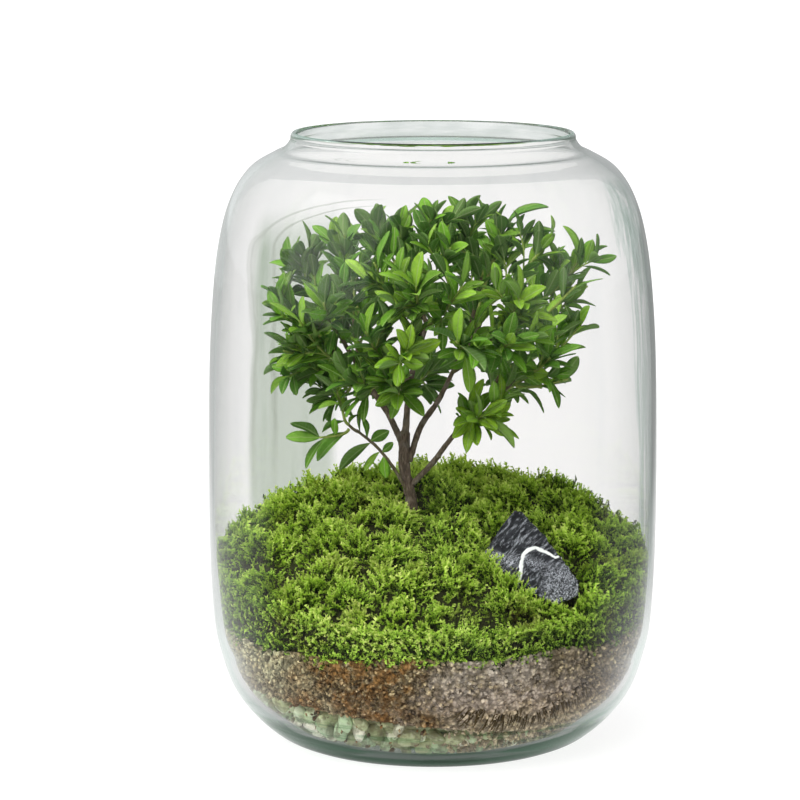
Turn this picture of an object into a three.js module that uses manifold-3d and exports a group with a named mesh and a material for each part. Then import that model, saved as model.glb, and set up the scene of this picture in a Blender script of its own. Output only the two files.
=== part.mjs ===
// A planted glass jar: an open, wide-mouthed jar of blown glass that holds a layer of pale pebbles,
// a bed of dark soil, a thick moss carpet with one veined stone in it, and a small tree.
// The tree is one woody piece, and each leafy spray on it is a piece of its own.
// Millimetres, +Z up. The origin is the centre of the jar's foot, on the surface that it stands on,
// and -Y is the side that the jar is looked at from: the moss slopes down to it.
import * as THREE from "three";
import { mergeVertices } from "three/addons/utils/BufferGeometryUtils.js";
import { ConvexGeometry } from "three/addons/geometries/ConvexGeometry.js";
import Module from "manifold-3d";

const wasm = await Module();
wasm.setup();

// ---- driving dimensions ----
const JAR_HEIGHT = 300;
const BODY_RADIUS = 110.5;
const MOUTH_RADIUS = 69.5; // outside of the lip
const FOOT_RADIUS = 70; // where the flat foot ring ends and the round corner begins
const PUNT_RADIUS = 54; // the pushed-up middle of the foot
const PUNT_RISE = 2;
const WALL = 3; // wall thickness of the body
const BASE_THICKNESS = 7;
const SECTORS = 32; // facets round the jar, and round every bed in it
const SEAT_GAP = 0.4; // what lies against a neighbour keeps this gap to it
const BED_RADIUS = BODY_RADIUS - WALL;
const LEAF_THICKNESS = 0.8;
const LEAF_CLEARANCE = 0.35; // free space kept round each leaf

// ---- small helpers ----
const vec = (x, y, z) => new THREE.Vector3(x, y, z);
const clamp01 = (t) => Math.min(1, Math.max(0, t));

// A seeded row of draws between low and high, the same on every run.
function drawer(seed) {
  let state = seed;
  return (low = 0, high = 1) => {
    state = (state * 16807) % 2147483647;
    return low + ((high - low) * state) / 2147483647;
  };
}

// Smooth waves from -1 to 1 over a point, for relief that has no grid of its own.
function waves(x, y, size, shift) {
  const u = x / size + shift;
  const v = y / size - 1.7 * shift;
  return (Math.sin(1.9 * u + 1.3 * Math.sin(1.1 * v)) + Math.sin(2.3 * v - 0.9 * Math.sin(1.4 * u + 2))) / 2;
}

function solidFromArrays(positions, triangles) {
  return new wasm.Manifold(
    new wasm.Mesh({
      numProp: 3,
      vertProperties: new Float32Array(positions),
      triVerts: new Uint32Array(triangles),
    }),
  );
}

// A closed three.js geometry as a solid.
function solidOf(geometry) {
  const bare = geometry.clone();
  bare.deleteAttribute("normal");
  bare.deleteAttribute("uv");
  const merged = mergeVertices(bare, 1e-4);
  return solidFromArrays(merged.attributes.position.array, merged.index.array);
}

function geometryOf(solid) {
  const mesh = solid.getMesh();
  const positions = new Float32Array(mesh.numVert * 3);
  for (let i = 0; i < mesh.numVert; i++) {
    positions.set(mesh.vertProperties.subarray(i * mesh.numProp, i * mesh.numProp + 3), i * 3);
  }
  const geometry = new THREE.BufferGeometry();
  geometry.setAttribute("position", new THREE.BufferAttribute(positions, 3));
  geometry.setIndex(new THREE.BufferAttribute(mesh.triVerts, 1));
  geometry.computeVertexNormals();
  return geometry;
}

function joined(solids) {
  return solids.reduce((all, next) => all.add(next));
}

// The largest connected body of a solid, so that a cut leaves no loose scrap.
function largestBody(solid) {
  return solid.decompose().reduce((a, b) => (a.volume() >= b.volume() ? a : b));
}

// A closed solid through rings of points with the same count each, anticlockwise as seen from the end.
// The last ring may be a single point.
function loft(rings) {
  const count = rings[0].length;
  const positions = rings.flat().flatMap((p) => [p.x, p.y, p.z]);
  const triangles = [];
  for (let i = 1; i < count - 1; i++) triangles.push(0, i + 1, i);
  for (let k = 0; k + 1 < rings.length; k++) {
    const near = k * count;
    const far = near + count;
    for (let i = 0; i < count; i++) {
      const j = (i + 1) % count;
      if (rings[k + 1].length === 1) triangles.push(near + i, near + j, far);
      else triangles.push(near + i, near + j, far + j, near + i, far + j, far + i);
    }
  }
  const last = (rings.length - 1) * count;
  if (rings.at(-1).length > 1) {
    for (let i = 1; i < count - 1; i++) triangles.push(last, last + i, last + i + 1);
  }
  return solidFromArrays(positions, triangles);
}

// A tapering stem along a smooth curve through points. roughness varies its radius like bark, and
// grow makes the stem that much thicker all round.
function stem(points, [startRadius, endRadius], { sides, steps, roughness = 0, pointed = false, grow = 0 }) {
  const curve = new THREE.CatmullRomCurve3(points);
  const frames = curve.computeFrenetFrames(steps, false);
  const rings = [];
  for (let k = 0; k <= steps; k++) {
    const centre = curve.getPointAt(k / steps);
    if (pointed && k === steps) {
      rings.push([centre]);
      continue;
    }
    const ring = [];
    for (let i = 0; i < sides; i++) {
      const angle = (2 * Math.PI * i) / sides;
      const bark = 1 + roughness * Math.sin(3 * angle + 2.1 * k);
      const radius = THREE.MathUtils.lerp(startRadius, endRadius, k / steps) * bark + grow;
      const across = frames.normals[k].clone().multiplyScalar(Math.cos(angle) * radius);
      ring.push(centre.clone().add(across.addScaledVector(frames.binormals[k], Math.sin(angle) * radius)));
    }
    rings.push(ring);
  }
  return loft(rings);
}

// A bed inside the jar: outlineAt(angle, sector) gives its section as [radius, height] pairs, from the
// axis at the bottom out to the glass, up it, and back to the axis at the top.
function bed(outlineAt) {
  const outlines = Array.from({ length: SECTORS }, (_, j) => outlineAt((2 * Math.PI * j) / SECTORS, j));
  const rows = outlines[0].length;
  const positions = [0, 0, outlines[0][0][1], 0, 0, outlines[0][rows - 1][1]];
  for (let k = 1; k < rows - 1; k++) {
    outlines.forEach((outline, j) => {
      const angle = (2 * Math.PI * j) / SECTORS;
      positions.push(outline[k][0] * Math.cos(angle), outline[k][0] * Math.sin(angle), outline[k][1]);
    });
  }
  const at = (k, j) => 2 + (k - 1) * SECTORS + (j % SECTORS);
  const triangles = [];
  for (let j = 0; j < SECTORS; j++) {
    triangles.push(0, at(1, j + 1), at(1, j));
    for (let k = 1; k < rows - 2; k++) {
      // The underside is split along the same diagonals as the top of the bed below, so they match.
      const [a, b, c, d] = [at(k, j), at(k, j + 1), at(k + 1, j + 1), at(k + 1, j)];
      const isUnderside = outlines[0][k + 1][0] > outlines[0][k][0];
      triangles.push(...(isUnderside ? [a, b, d, b, c, d] : [a, b, c, a, c, d]));
    }
    triangles.push(1, at(rows - 2, j), at(rows - 2, j + 1));
  }
  return solidFromArrays(positions, triangles);
}

// ---- the jar ----
// One piece of blown glass. The outside is a spline through the few radii and heights that fix its
// shape: foot, round corner, slightly barrelled wall, shoulder, waisted neck and rolled lip.
const OUTSIDE = [
  [FOOT_RADIUS, 0],
  [78.5, 4],
  [89.5, 13.5],
  [98.8, 26],
  [104.8, 42],
  [108.6, 62],
  [BODY_RADIUS, 110],
  [110, 180],
  [107.5, 225],
  [103.5, 253],
  [97.5, 271],
  [89, 283],
  [78.5, 289.6],
  [72.5, 292.6],
  [MOUTH_RADIUS, 296.5],
];
const outsideCurve = new THREE.SplineCurve(OUTSIDE.map(([r, z]) => new THREE.Vector2(r, z)));
const CORNER_SPAN = 0.4; // the share of the outline where the wall thins from the base up

// The inside follows the outside at the wall's thickness, down to the flat floor.
function insideOutline(steps) {
  const points = [];
  for (let k = steps; k >= 0; k--) {
    const share = k / steps;
    const tangent = outsideCurve.getTangent(share);
    const thickness = THREE.MathUtils.lerp(BASE_THICKNESS, WALL, Math.sqrt(clamp01(share / CORNER_SPAN)));
    const point = outsideCurve.getPoint(share);
    point.x -= tangent.y * thickness;
    point.y += tangent.x * thickness;
    if (point.y > BASE_THICKNESS + 0.5) points.push(point);
  }
  return points;
}

const OUTLINE_STEPS = 14;
const inside = insideOutline(OUTLINE_STEPS);
const floorEdge = new THREE.Vector2(inside.at(-1).x - 7, BASE_THICKNESS);
inside.push(floorEdge);

// The radius of the glass's inside at a height, from the same facets as the jar.
function insideRadius(height) {
  if (height <= floorEdge.y) return floorEdge.x;
  for (let k = inside.length - 1; k > 0; k--) {
    const low = inside[k];
    const high = inside[k - 1];
    if (height <= high.y) return THREE.MathUtils.lerp(low.x, high.x, (height - low.y) / (high.y - low.y));
  }
  return inside[0].x;
}

function jar() {
  const punt = [new THREE.Vector2(0, PUNT_RISE), new THREE.Vector2(PUNT_RADIUS - 8, PUNT_RISE * 0.8)];
  const foot = [new THREE.Vector2(PUNT_RADIUS, 0)];
  const outside = outsideCurve.getPoints(OUTLINE_STEPS);
  const lip = [
    new THREE.Vector2(MOUTH_RADIUS - 0.3, JAR_HEIGHT - 1.2),
    new THREE.Vector2(MOUTH_RADIUS - 1.7, JAR_HEIGHT),
    new THREE.Vector2(MOUTH_RADIUS - 3.2, JAR_HEIGHT - 1),
  ];
  const floor = [new THREE.Vector2(0, BASE_THICKNESS)];
  const profile = [...punt, ...foot, ...outside, ...lip, ...inside, ...floor];
  const geometry = new THREE.LatheGeometry(profile, SECTORS);
  geometry.rotateX(Math.PI / 2);
  return solidOf(geometry);
}

// ---- heights of the beds ----
const MOSS_EDGE_HEIGHT = 92; // at the glass, half-way round
const MOSS_DOME = 25; // rise from the glass to the middle
const MOSS_SLOPE = 0.2; // fall towards the front
const MOSS_LUMP = 3.2;
const STONE_HOLLOW = { x: 55, y: -63, depth: 14, spread: 20 };
const SOIL_EDGE_HEIGHT = 58;
const SOIL_DOME = 30;
const PEBBLE_HEIGHT = 24;

function mossTop(x, y) {
  const reach = Math.hypot(x, y) / BED_RADIUS;
  const hollow = Math.hypot(x - STONE_HOLLOW.x, y - STONE_HOLLOW.y) / STONE_HOLLOW.spread;
  return (
    MOSS_EDGE_HEIGHT +
    MOSS_DOME * (1 - reach * reach) +
    MOSS_SLOPE * y -
    STONE_HOLLOW.depth * Math.exp(-hollow * hollow) +
    MOSS_LUMP * waves(x, y, 17, 0.4) * (1 - 0.5 * reach)
  );
}

function soilTop(x, y) {
  const reach = Math.hypot(x, y) / BED_RADIUS;
  return SOIL_EDGE_HEIGHT + SOIL_DOME * (1 - reach * reach) * 0.8 + 0.02 * x + 2.2 * waves(x, y, 22, 1.9);
}

// The pebbles lie deepest at the left, so the soil dips to the right.
function pebbleTop(x, y) {
  return PEBBLE_HEIGHT - 0.1 * x - 0.02 * y;
}

const flat = () => 0;

// A bed between two height functions. Its side keeps inset further from the glass, relief(sector, row)
// pushes places of the side in, and tuft(sector, ring) lifts places of the top.
function layer({ bottom, top, bottomRings, sideRows, topRings, inset = 0, relief = flat, tuft = flat }) {
  return bed((angle, sector) => {
    const point = (r) => [r * Math.cos(angle), r * Math.sin(angle)];
    const edge = (heightAt) => {
      let height = heightAt(...point(BED_RADIUS));
      for (let pass = 0; pass < 4; pass++) height = heightAt(...point(insideRadius(height) - SEAT_GAP));
      return height;
    };
    const low = edge(bottom);
    const high = edge(top);
    const lowRadius = insideRadius(low) - SEAT_GAP;
    const highRadius = insideRadius(high) - SEAT_GAP;
    const outline = [];
    for (let k = 0; k < bottomRings; k++) {
      const r = (lowRadius * k) / bottomRings;
      outline.push([r, bottom(...point(r))]);
    }
    for (let k = 0; k <= sideRows; k++) {
      const height = THREE.MathUtils.lerp(low, high, k / sideRows);
      const inner = k > 0 && k < sideRows ? relief(sector, k) : 0;
      outline.push([insideRadius(height) - SEAT_GAP - inset - inner, height]);
    }
    for (let k = topRings - 1; k >= 0; k--) {
      const r = (highRadius * k) / topRings;
      outline.push([r, top(...point(r)) + (k > 0 ? tuft(sector, k) : 0)]);
    }
    return outline;
  });
}

// ---- pebbles ----
// The drainage layer: a core with stones set into it in two rows, all round the glass. A stone is
// left out where the layer is too thin for it.
const PEBBLE_ROWS = [
  { depth: 0, count: 19, size: 6.6 },
  { depth: 1, count: 23, size: 6.8 },
];

function pebble(centre, size, draw) {
  const geometry = new THREE.IcosahedronGeometry(1, 0);
  geometry.rotateX(draw(0, 3));
  geometry.rotateZ(draw(0, 3));
  geometry.scale(size * draw(0.82, 1), size * draw(0.85, 1.15), size * draw(0.7, 0.85));
  geometry.rotateZ(Math.atan2(centre.y, centre.x));
  geometry.translate(centre.x, centre.y, centre.z);
  return solidOf(geometry);
}

function drainageLayer() {
  const draw = drawer(4021);
  const floor = BASE_THICKNESS + SEAT_GAP;
  let layerSolid = layer({
    bottom: () => floor,
    top: (x, y) => pebbleTop(x, y) - 0.8,
    bottomRings: 1,
    sideRows: 2,
    topRings: 1,
    inset: 5,
  });
  for (const { depth, count, size } of PEBBLE_ROWS) {
    for (let i = 0; i < count; i++) {
      const angle = (2 * Math.PI * (i + draw(0.35, 0.65))) / count;
      const top = pebbleTop(90 * Math.cos(angle), 90 * Math.sin(angle)) - 0.87 * size - 1.6;
      const height = depth === 0 ? floor + 0.87 * size : top;
      const reach = insideRadius(height - 0.75 * size) - SEAT_GAP - 0.98 * size;
      const stone = pebble(vec(reach * Math.cos(angle), reach * Math.sin(angle), height), size, draw);
      if (top - floor > 0.85 * size * (1 + depth)) layerSolid = layerSolid.add(stone);
    }
  }
  return layerSolid;
}

// ---- soil and moss ----
// A draw for each place of a bed's grid, between low and high.
function reliefGrid(seed, low, high) {
  const draw = drawer(seed);
  const places = Array.from({ length: SECTORS * 20 }, () => draw(low, high));
  return (sector, row) => places[sector * 20 + row];
}

const soilRelief = reliefGrid(77, 0, 1.5);
const mossRelief = reliefGrid(131, 0, 1.6);
const mossTuft = reliefGrid(991, -2.2, 2.4);

function soilBed() {
  return layer({
    bottom: (x, y) => pebbleTop(x, y) + SEAT_GAP,
    top: soilTop,
    bottomRings: 2,
    sideRows: 4,
    topRings: 4,
    relief: soilRelief,
  });
}

function mossCarpet() {
  return layer({
    bottom: (x, y) => soilTop(x, y) + SEAT_GAP,
    top: mossTop,
    bottomRings: 4,
    sideRows: 3,
    topRings: 13,
    relief: mossRelief,
    tuft: mossTuft,
  });
}

// ---- the stone ----
// A dark crag with a sharp top, lying back on the slope with its foot sunk in the moss.
const STONE_CORNERS = [
  [39, -28, 119],
  [43, -26, 118],
  [29, -40, 108],
  [24, -49, 102],
  [54, -36, 109],
  [65, -49, 97],
  [71, -57, 88],
  [71, -62, 82],
  [59, -69, 79],
  [46, -66, 85],
  [33, -60, 93],
  [26, -54, 96],
  [51, -56, 97],
  [61, -58, 92],
  [30, -40, 84],
  [52, -28, 86],
  [64, -42, 78],
  [48, -58, 75],
  [33, -28, 94],
];

const STONE_GAP = 0.7; // its corners move out by this, its faces by about half of it

function stone(grow = 0) {
  const corners = STONE_CORNERS.map((p) => vec(...p));
  const centre = corners.reduce((sum, p) => sum.add(p), vec(0, 0, 0)).divideScalar(corners.length);
  for (const p of corners) p.add(p.clone().sub(centre).normalize().multiplyScalar(grow));
  return solidOf(new ConvexGeometry(corners));
}

// ---- the tree's wood ----
// The trunk goes down through the moss to a plain hole in the soil. Limbs fork from it, and each
// bough of a limb ends near the sprays that it carries.
const TRUNK_FOOT = vec(-9, -5, 66);
const TRUNK = [TRUNK_FOOT, vec(-10, -5, 92), vec(-10.5, -5, 118), vec(-14, -4.5, 134), vec(-14, -3, 152)];
const TRUNK_RADII = [3.2, 2.6];
const TRUNK_FACETS = { sides: 7, steps: 6, roughness: 0.06 };
const LIMB_FACETS = { sides: 5, steps: 3, roughness: 0.05 };
const LIMBS = {
  left: {
    points: [vec(-14, -4, 144), vec(-21, -1, 159), vec(-29, 2, 171), vec(-38, 0, 186)],
    radii: [1.7, 1.1],
  },
  leader: {
    points: [vec(-14, -3.5, 148), vec(-12, -6, 166), vec(-10, -8, 182), vec(-3, -5, 208)],
    radii: [1.8, 1.1],
  },
  middle: {
    points: [vec(-12, -4.5, 138), vec(-6, -1, 155), vec(2, 2, 167), vec(15, 4, 192)],
    radii: [1.6, 1.1],
  },
  right: {
    points: [vec(-11, -5, 126), vec(0, -9, 138), vec(9, -14, 151), vec(26, -16, 170)],
    radii: [1.5, 1.1],
  },
  shoot: {
    points: [vec(-12, -6, 122), vec(-20, -10, 137), vec(-28, -12, 147), vec(-37, -15, 155)],
    radii: [0.9, 0.7],
  },
};
// Each bough leaves its limb at a share of the limb's length. tips are the ends of its sprays.
const BOUGHS = [
  {
    limb: "left",
    at: 0.7,
    end: vec(-52, -12, 198),
    tips: [[-77, -10, 221], [-72, -20, 195], [-64, -36, 212]],
  },
  {
    limb: "left",
    at: 0.97,
    end: vec(-50, -2, 213),
    tips: [[-69, 5, 236], [-43, -15, 251], [-52, -46, 222]],
  },
  {
    limb: "left",
    at: 0.62,
    end: vec(-48, 14, 179),
    tips: [[-72, 10, 184], [-62, 40, 187], [-50, 19, 164]],
  },
  { limb: "left", at: 0.9, end: vec(-40, 27, 206), tips: [[-57, 48, 207], [-42, 50, 233], [-32, 66, 204]] },
  {
    limb: "leader",
    at: 0.5,
    end: vec(-20, -32, 189),
    tips: [[-12, -59, 201], [-32, -52, 209], [-16, -46, 178], [-43, -38, 184]],
  },
  {
    limb: "leader",
    at: 0.78,
    end: vec(-6, -31, 214),
    tips: [[-8, -62, 232], [14, -60, 232], [-28, -44, 241]],
  },
  {
    limb: "leader",
    at: 0.97,
    end: vec(-10, -4, 231),
    tips: [[-1, -10, 259], [-29, 14, 254], [8, -42, 248]],
  },
  { limb: "leader", at: 0.9, end: vec(-13, 30, 216), tips: [[-17, 48, 248], [-5, 71, 214]] },
  { limb: "leader", at: 0.35, end: vec(-18, 22, 174), tips: [[-31, 50, 179], [0, 56, 174]] },
  { limb: "middle", at: 0.97, end: vec(24, 2, 228), tips: [[14, 2, 256], [36, 10, 256], [56, 0, 246]] },
  { limb: "middle", at: 0.9, end: vec(48, 3, 213), tips: [[75, 10, 240], [78, 26, 221], [69, -20, 227]] },
  {
    limb: "middle",
    at: 0.8,
    end: vec(32, -27, 207),
    tips: [[41, -52, 225], [36, -57, 204], [11, -63, 206]],
  },
  {
    limb: "middle",
    at: 0.93,
    end: vec(28, 34, 210),
    tips: [[6, 58, 240], [31, 54, 240], [56, 50, 222], [22, 69, 205]],
  },
  { limb: "right", at: 0.97, end: vec(42, -13, 182), tips: [[56, -36, 194], [66, -12, 180], [73, 2, 205]] },
  { limb: "right", at: 0.85, end: vec(34, 13, 179), tips: [[64, 42, 195], [37, 49, 179]] },
  { limb: "right", at: 0.6, end: vec(18, -24, 162), tips: [[24, -38, 166]] },
  { limb: "shoot", at: 0.97, end: vec(-41, -17, 158), tips: [[-47, -19, 176], [-55, -24, 153]] },
];
const BOUGH_RADII = [1.15, 0.85];
const SHOOT_BOUGH_RADII = [0.8, 0.7];
const limbCurves = Object.fromEntries(
  Object.entries(LIMBS).map(([name, { points }]) => [name, new THREE.CatmullRomCurve3(points)]),
);

function boughPoints({ limb, at, end }) {
  const start = limbCurves[limb].getPointAt(at);
  const sag = vec(0, 0, -0.07 * start.distanceTo(end));
  return [start, start.clone().lerp(end, 0.5).add(sag), end];
}

function wood() {
  const pieces = [stem(TRUNK, TRUNK_RADII, TRUNK_FACETS)];
  for (const { points, radii } of Object.values(LIMBS)) pieces.push(stem(points, radii, LIMB_FACETS));
  for (const bough of BOUGHS) {
    const radii = bough.limb === "shoot" ? SHOOT_BOUGH_RADII : BOUGH_RADII;
    pieces.push(stem(boughPoints(bough), radii, { sides: 4, steps: 2 }));
  }
  return joined(pieces);
}

// The room that the trunk and the low shoot need in the moss, and the plain hole in the soil that the
// trunk's foot stands in.
function trunkHole() {
  const seat = TRUNK_FOOT.clone().add(vec(0, 0, -SEAT_GAP));
  const rise = seat.clone().add(vec(0, 0, 2));
  const socketRadius = TRUNK_RADII[0] * (1 + TRUNK_FACETS.roughness) + SEAT_GAP;
  const socket = stem([seat, rise], [socketRadius, socketRadius], { sides: 8, steps: 1 });
  return socket.add(stem(TRUNK, TRUNK_RADII, { ...TRUNK_FACETS, grow: SEAT_GAP }));
}

function shootHole() {
  return stem(LIMBS.shoot.points, LIMBS.shoot.radii, { ...LIMB_FACETS, grow: SEAT_GAP });
}

// ---- leafy sprays ----
const TWIG_RADII = [0.95, 0.65];
const LEAVES_PER_SPRAY = 6;
const LEAVES_BEHIND = 5; // on a spray at the back of the crown
const BACK = 38;
const ROSETTE = 4; // how many of them stand in a ring at the twig's end
const GOLDEN_ANGLE = 2.39996;

// A thin arched blade, obovate with a blunt tip and a keel along its back for the midrib. Its root
// is sunk in the twig. Stations are shares of its length and of its half width.
const BLADE_STATIONS = [
  [0, 0.12],
  [0.4, 0.82],
  [0.76, 1],
];
const BLADE_ARCH = 0.16;

function blade({ root, along, normal, length, width, grow = 0 }) {
  const across = along.clone().cross(normal).normalize();
  const face = across.clone().cross(along).normalize();
  const place = (share, side, thick) =>
    root
      .clone()
      .addScaledVector(along, share * length)
      .addScaledVector(across, side)
      .addScaledVector(face, thick + BLADE_ARCH * length * share * (0.8 - share));
  const rings = BLADE_STATIONS.map(([share, spread]) => {
    const side = (spread * width) / 2 + grow;
    const top = LEAF_THICKNESS / 2 + grow;
    return [place(share, -side, top), place(share, side, top), place(share, 0, -top - grow)];
  });
  rings.push([place(1 + grow / length, 0, 0)]);
  return loft(rings);
}

// The way of a spray's twig, which starts just clear of the bark: the first spray goes on from the
// bough's end, and the others leave its side below the end.
function twigPoints(bough, index, tip) {
  const curve = new THREE.CatmullRomCurve3(boughPoints(bough));
  const share = 1 - 0.2 * index;
  const bark = curve.getPointAt(share);
  let out = curve.getTangentAt(share);
  if (index > 0) {
    const across = tip.clone().sub(bark);
    out = across.addScaledVector(out, -across.dot(out)).normalize();
    bark.addScaledVector(out, BOUGH_RADII[0]);
  }
  const start = bark.addScaledVector(out, 0.3);
  const sag = vec(0, 0, -0.08 * start.distanceTo(tip));
  return [start, start.clone().addScaledVector(out, 2), start.clone().lerp(tip, 0.55).add(sag), tip];
}

// The leaves of a spray as nominal places, worked out from the twig and a seed alone.
function leavesOf(twig, seed) {
  const count = twig.points.at(-1).y > BACK ? LEAVES_BEHIND : LEAVES_PER_SPRAY;
  const draw = drawer(seed);
  const turn = draw(0, 2 * Math.PI);
  return Array.from({ length: count }, (_, k) => {
    const inRosette = k < ROSETTE;
    const share = inRosette ? 0.97 - 0.07 * k : 0.65 - 0.18 * (k - ROSETTE);
    const azimuth = inRosette ? turn + (2 * Math.PI * k) / ROSETTE : turn + GOLDEN_ANGLE * k;
    return {
      share,
      azimuth: azimuth + draw(-0.25, 0.25),
      pitch: inRosette ? draw(0.75, 1.2) : draw(0.95, 1.35),
      length: inRosette ? draw(14, 20) : draw(15, 19),
      width: draw(6.2, 8),
      root: twig.getPointAt(share),
      axis: twig.getTangentAt(share),
    };
  });
}

const UP = vec(0, 0, 1);

function placedLeaf({ root, axis, azimuth, pitch, length, width }, grow = 0) {
  const side = axis.clone().cross(UP).normalize();
  const over = side.clone().cross(axis);
  const radial = side.multiplyScalar(Math.cos(azimuth)).addScaledVector(over, Math.sin(azimuth));
  const along = axis.clone().multiplyScalar(Math.cos(pitch)).addScaledVector(radial, Math.sin(pitch));
  const normal = axis.clone().multiplyScalar(0.6).addScaledVector(UP, 0.4);
  return blade({ root: root.clone(), along, normal, length, width, grow });
}

// A leaf may turn about its twig and shrink a little to keep clear of its neighbours.
const TURNS = [0, 0.3, -0.3, 0.6, -0.6];
const SHRINK_PER_TURN = 0.2;
const GLASS_MARGIN = 4;

function boxesMeet(a, b) {
  return [0, 1, 2].every((i) => a.min[i] < b.max[i] && b.min[i] < a.max[i]);
}

function isClear(solid, neighbours) {
  if (!insideGlass(solid)) return false;
  const box = solid.boundingBox();
  return neighbours.every((other) => !boxesMeet(box, other.box) || solid.intersect(other.solid).isEmpty());
}

function insideGlass(solid) {
  const { vertProperties, numProp, numVert } = solid.getMesh();
  for (let i = 0; i < numVert; i++) {
    const [x, y, z] = vertProperties.subarray(i * numProp, i * numProp + 3);
    if (Math.hypot(x, y) > insideRadius(z) - GLASS_MARGIN) return false;
  }
  return true;
}

function withBox(solid) {
  return { solid, box: solid.boundingBox() };
}

// Twigs first, so that each keeps its way, then the leaves of each spray, turned or left out where
// they would run into a neighbour.
function foliage(woodSolid) {
  const sprays = BOUGHS.flatMap((bough) =>
    bough.tips.map((tip, index) => {
      const points = twigPoints(bough, index, vec(...tip));
      return { points, twig: new THREE.CatmullRomCurve3(points) };
    }),
  );
  const woodBox = withBox(woodSolid);
  for (const spray of sprays) {
    spray.solid = stem(spray.points, TWIG_RADII, { sides: 3, steps: 3, pointed: true });
    spray.box = spray.solid.boundingBox();
  }
  sprays.forEach((spray, i) => {
    for (const leaf of leavesOf(spray.twig, 1000 + 37 * i)) {
      const others = [woodBox, ...sprays.filter((other) => other !== spray)];
      for (const turn of TURNS) {
        const length = leaf.length * (1 - SHRINK_PER_TURN * Math.abs(turn));
        const tried = { ...leaf, azimuth: leaf.azimuth + turn, length };
        if (!isClear(placedLeaf(tried, LEAF_CLEARANCE), others)) continue;
        spray.solid = spray.solid.add(placedLeaf(tried));
        spray.box = spray.solid.boundingBox();
        break;
      }
    }
  });
  return sprays.map((spray) => largestBody(spray.solid));
}

// ---- the whole ----
const MATERIALS = {
  glass: { color: 0xdfe9e4, roughness: 0.05, metalness: 0, transparent: true, opacity: 0.3 },
  pebble: { color: 0xcfd3c0, roughness: 0.8, metalness: 0 },
  soil: { color: 0x5a4630, roughness: 0.95, metalness: 0 },
  moss: { color: 0x6c8f2a, roughness: 0.9, metalness: 0 },
  stone: { color: 0x4a4b50, roughness: 0.75, metalness: 0 },
  bark: { color: 0x57463a, roughness: 0.85, metalness: 0 },
  leaf: { color: 0x3f7a2a, roughness: 0.45, metalness: 0 },
};

const group = new THREE.Group();

function addNode(name, solid, material) {
  const mesh = new THREE.Mesh(geometryOf(solid), new THREE.MeshStandardMaterial(MATERIALS[material]));
  mesh.name = name;
  group.add(mesh);
}

const treeWood = largestBody(wood());
const soil = soilBed().subtract(trunkHole());
const moss = mossCarpet().subtract(stone(STONE_GAP)).subtract(trunkHole()).subtract(shootHole());

addNode("glass_jar", jar(), "glass");
addNode("drainage_pebbles", drainageLayer(), "pebble");
addNode("soil_bed", largestBody(soil), "soil");
addNode("moss_carpet", largestBody(moss), "moss");
addNode("veined_stone", stone(), "stone");
addNode("tree_trunk_and_boughs", treeWood, "bark");
foliage(treeWood).forEach((solid, i) => {
  addNode("leafy_spray_" + String(i + 1).padStart(2, "0"), solid, "leaf");
});

export default group;
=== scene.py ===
import math

import bmesh
import bpy
import numpy as np
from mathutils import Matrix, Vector


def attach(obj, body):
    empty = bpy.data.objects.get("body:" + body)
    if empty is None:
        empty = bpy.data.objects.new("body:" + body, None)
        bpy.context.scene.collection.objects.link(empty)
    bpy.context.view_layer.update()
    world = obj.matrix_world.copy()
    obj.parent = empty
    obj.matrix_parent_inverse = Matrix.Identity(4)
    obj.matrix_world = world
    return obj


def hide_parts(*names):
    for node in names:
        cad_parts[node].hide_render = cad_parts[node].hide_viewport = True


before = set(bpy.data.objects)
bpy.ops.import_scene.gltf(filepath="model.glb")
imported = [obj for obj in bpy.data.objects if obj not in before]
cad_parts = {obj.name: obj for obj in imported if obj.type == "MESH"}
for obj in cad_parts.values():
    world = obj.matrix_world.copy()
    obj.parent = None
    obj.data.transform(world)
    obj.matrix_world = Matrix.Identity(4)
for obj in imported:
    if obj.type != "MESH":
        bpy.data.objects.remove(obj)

# ---- the camera ----
# A long lens straight in front of the jar and a little above it, far enough off for the lip and the
# foot to look like flat ovals. It aims a little to the left, so the jar stands right of the middle.
MM = 0.001
CAMERA_PLACE = Vector((0, -1800, 456)) * MM
CAMERA_AIM = Vector((-16.1, 0, 167.6)) * MM
LENS = 166.6
SENSOR_WIDTH = 36
FARTHEST_SEEN = 200

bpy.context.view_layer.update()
camera_data = bpy.data.cameras.new("camera")
camera_data.lens = LENS
camera_data.sensor_width = SENSOR_WIDTH
camera_data.clip_end = FARTHEST_SEEN
camera = bpy.data.objects.new("camera", camera_data)
camera.location = CAMERA_PLACE
camera.rotation_euler = (CAMERA_AIM - CAMERA_PLACE).to_track_quat("-Z", "Y").to_euler()
bpy.context.scene.collection.objects.link(camera)
bpy.context.scene.camera = camera


# ---- the floor and the light ----
# A white matt floor that runs out of sight, lit evenly from all sides by the sky, by a broad soft
# sun from the upper left, and by two softboxes that leave the long highlights on the glass.
def arithmetic(operation, swap=False):
    """An operator of Value, which adds a Math node."""
    return lambda self, *others: self.math(operation, *others, swap=swap)


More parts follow.
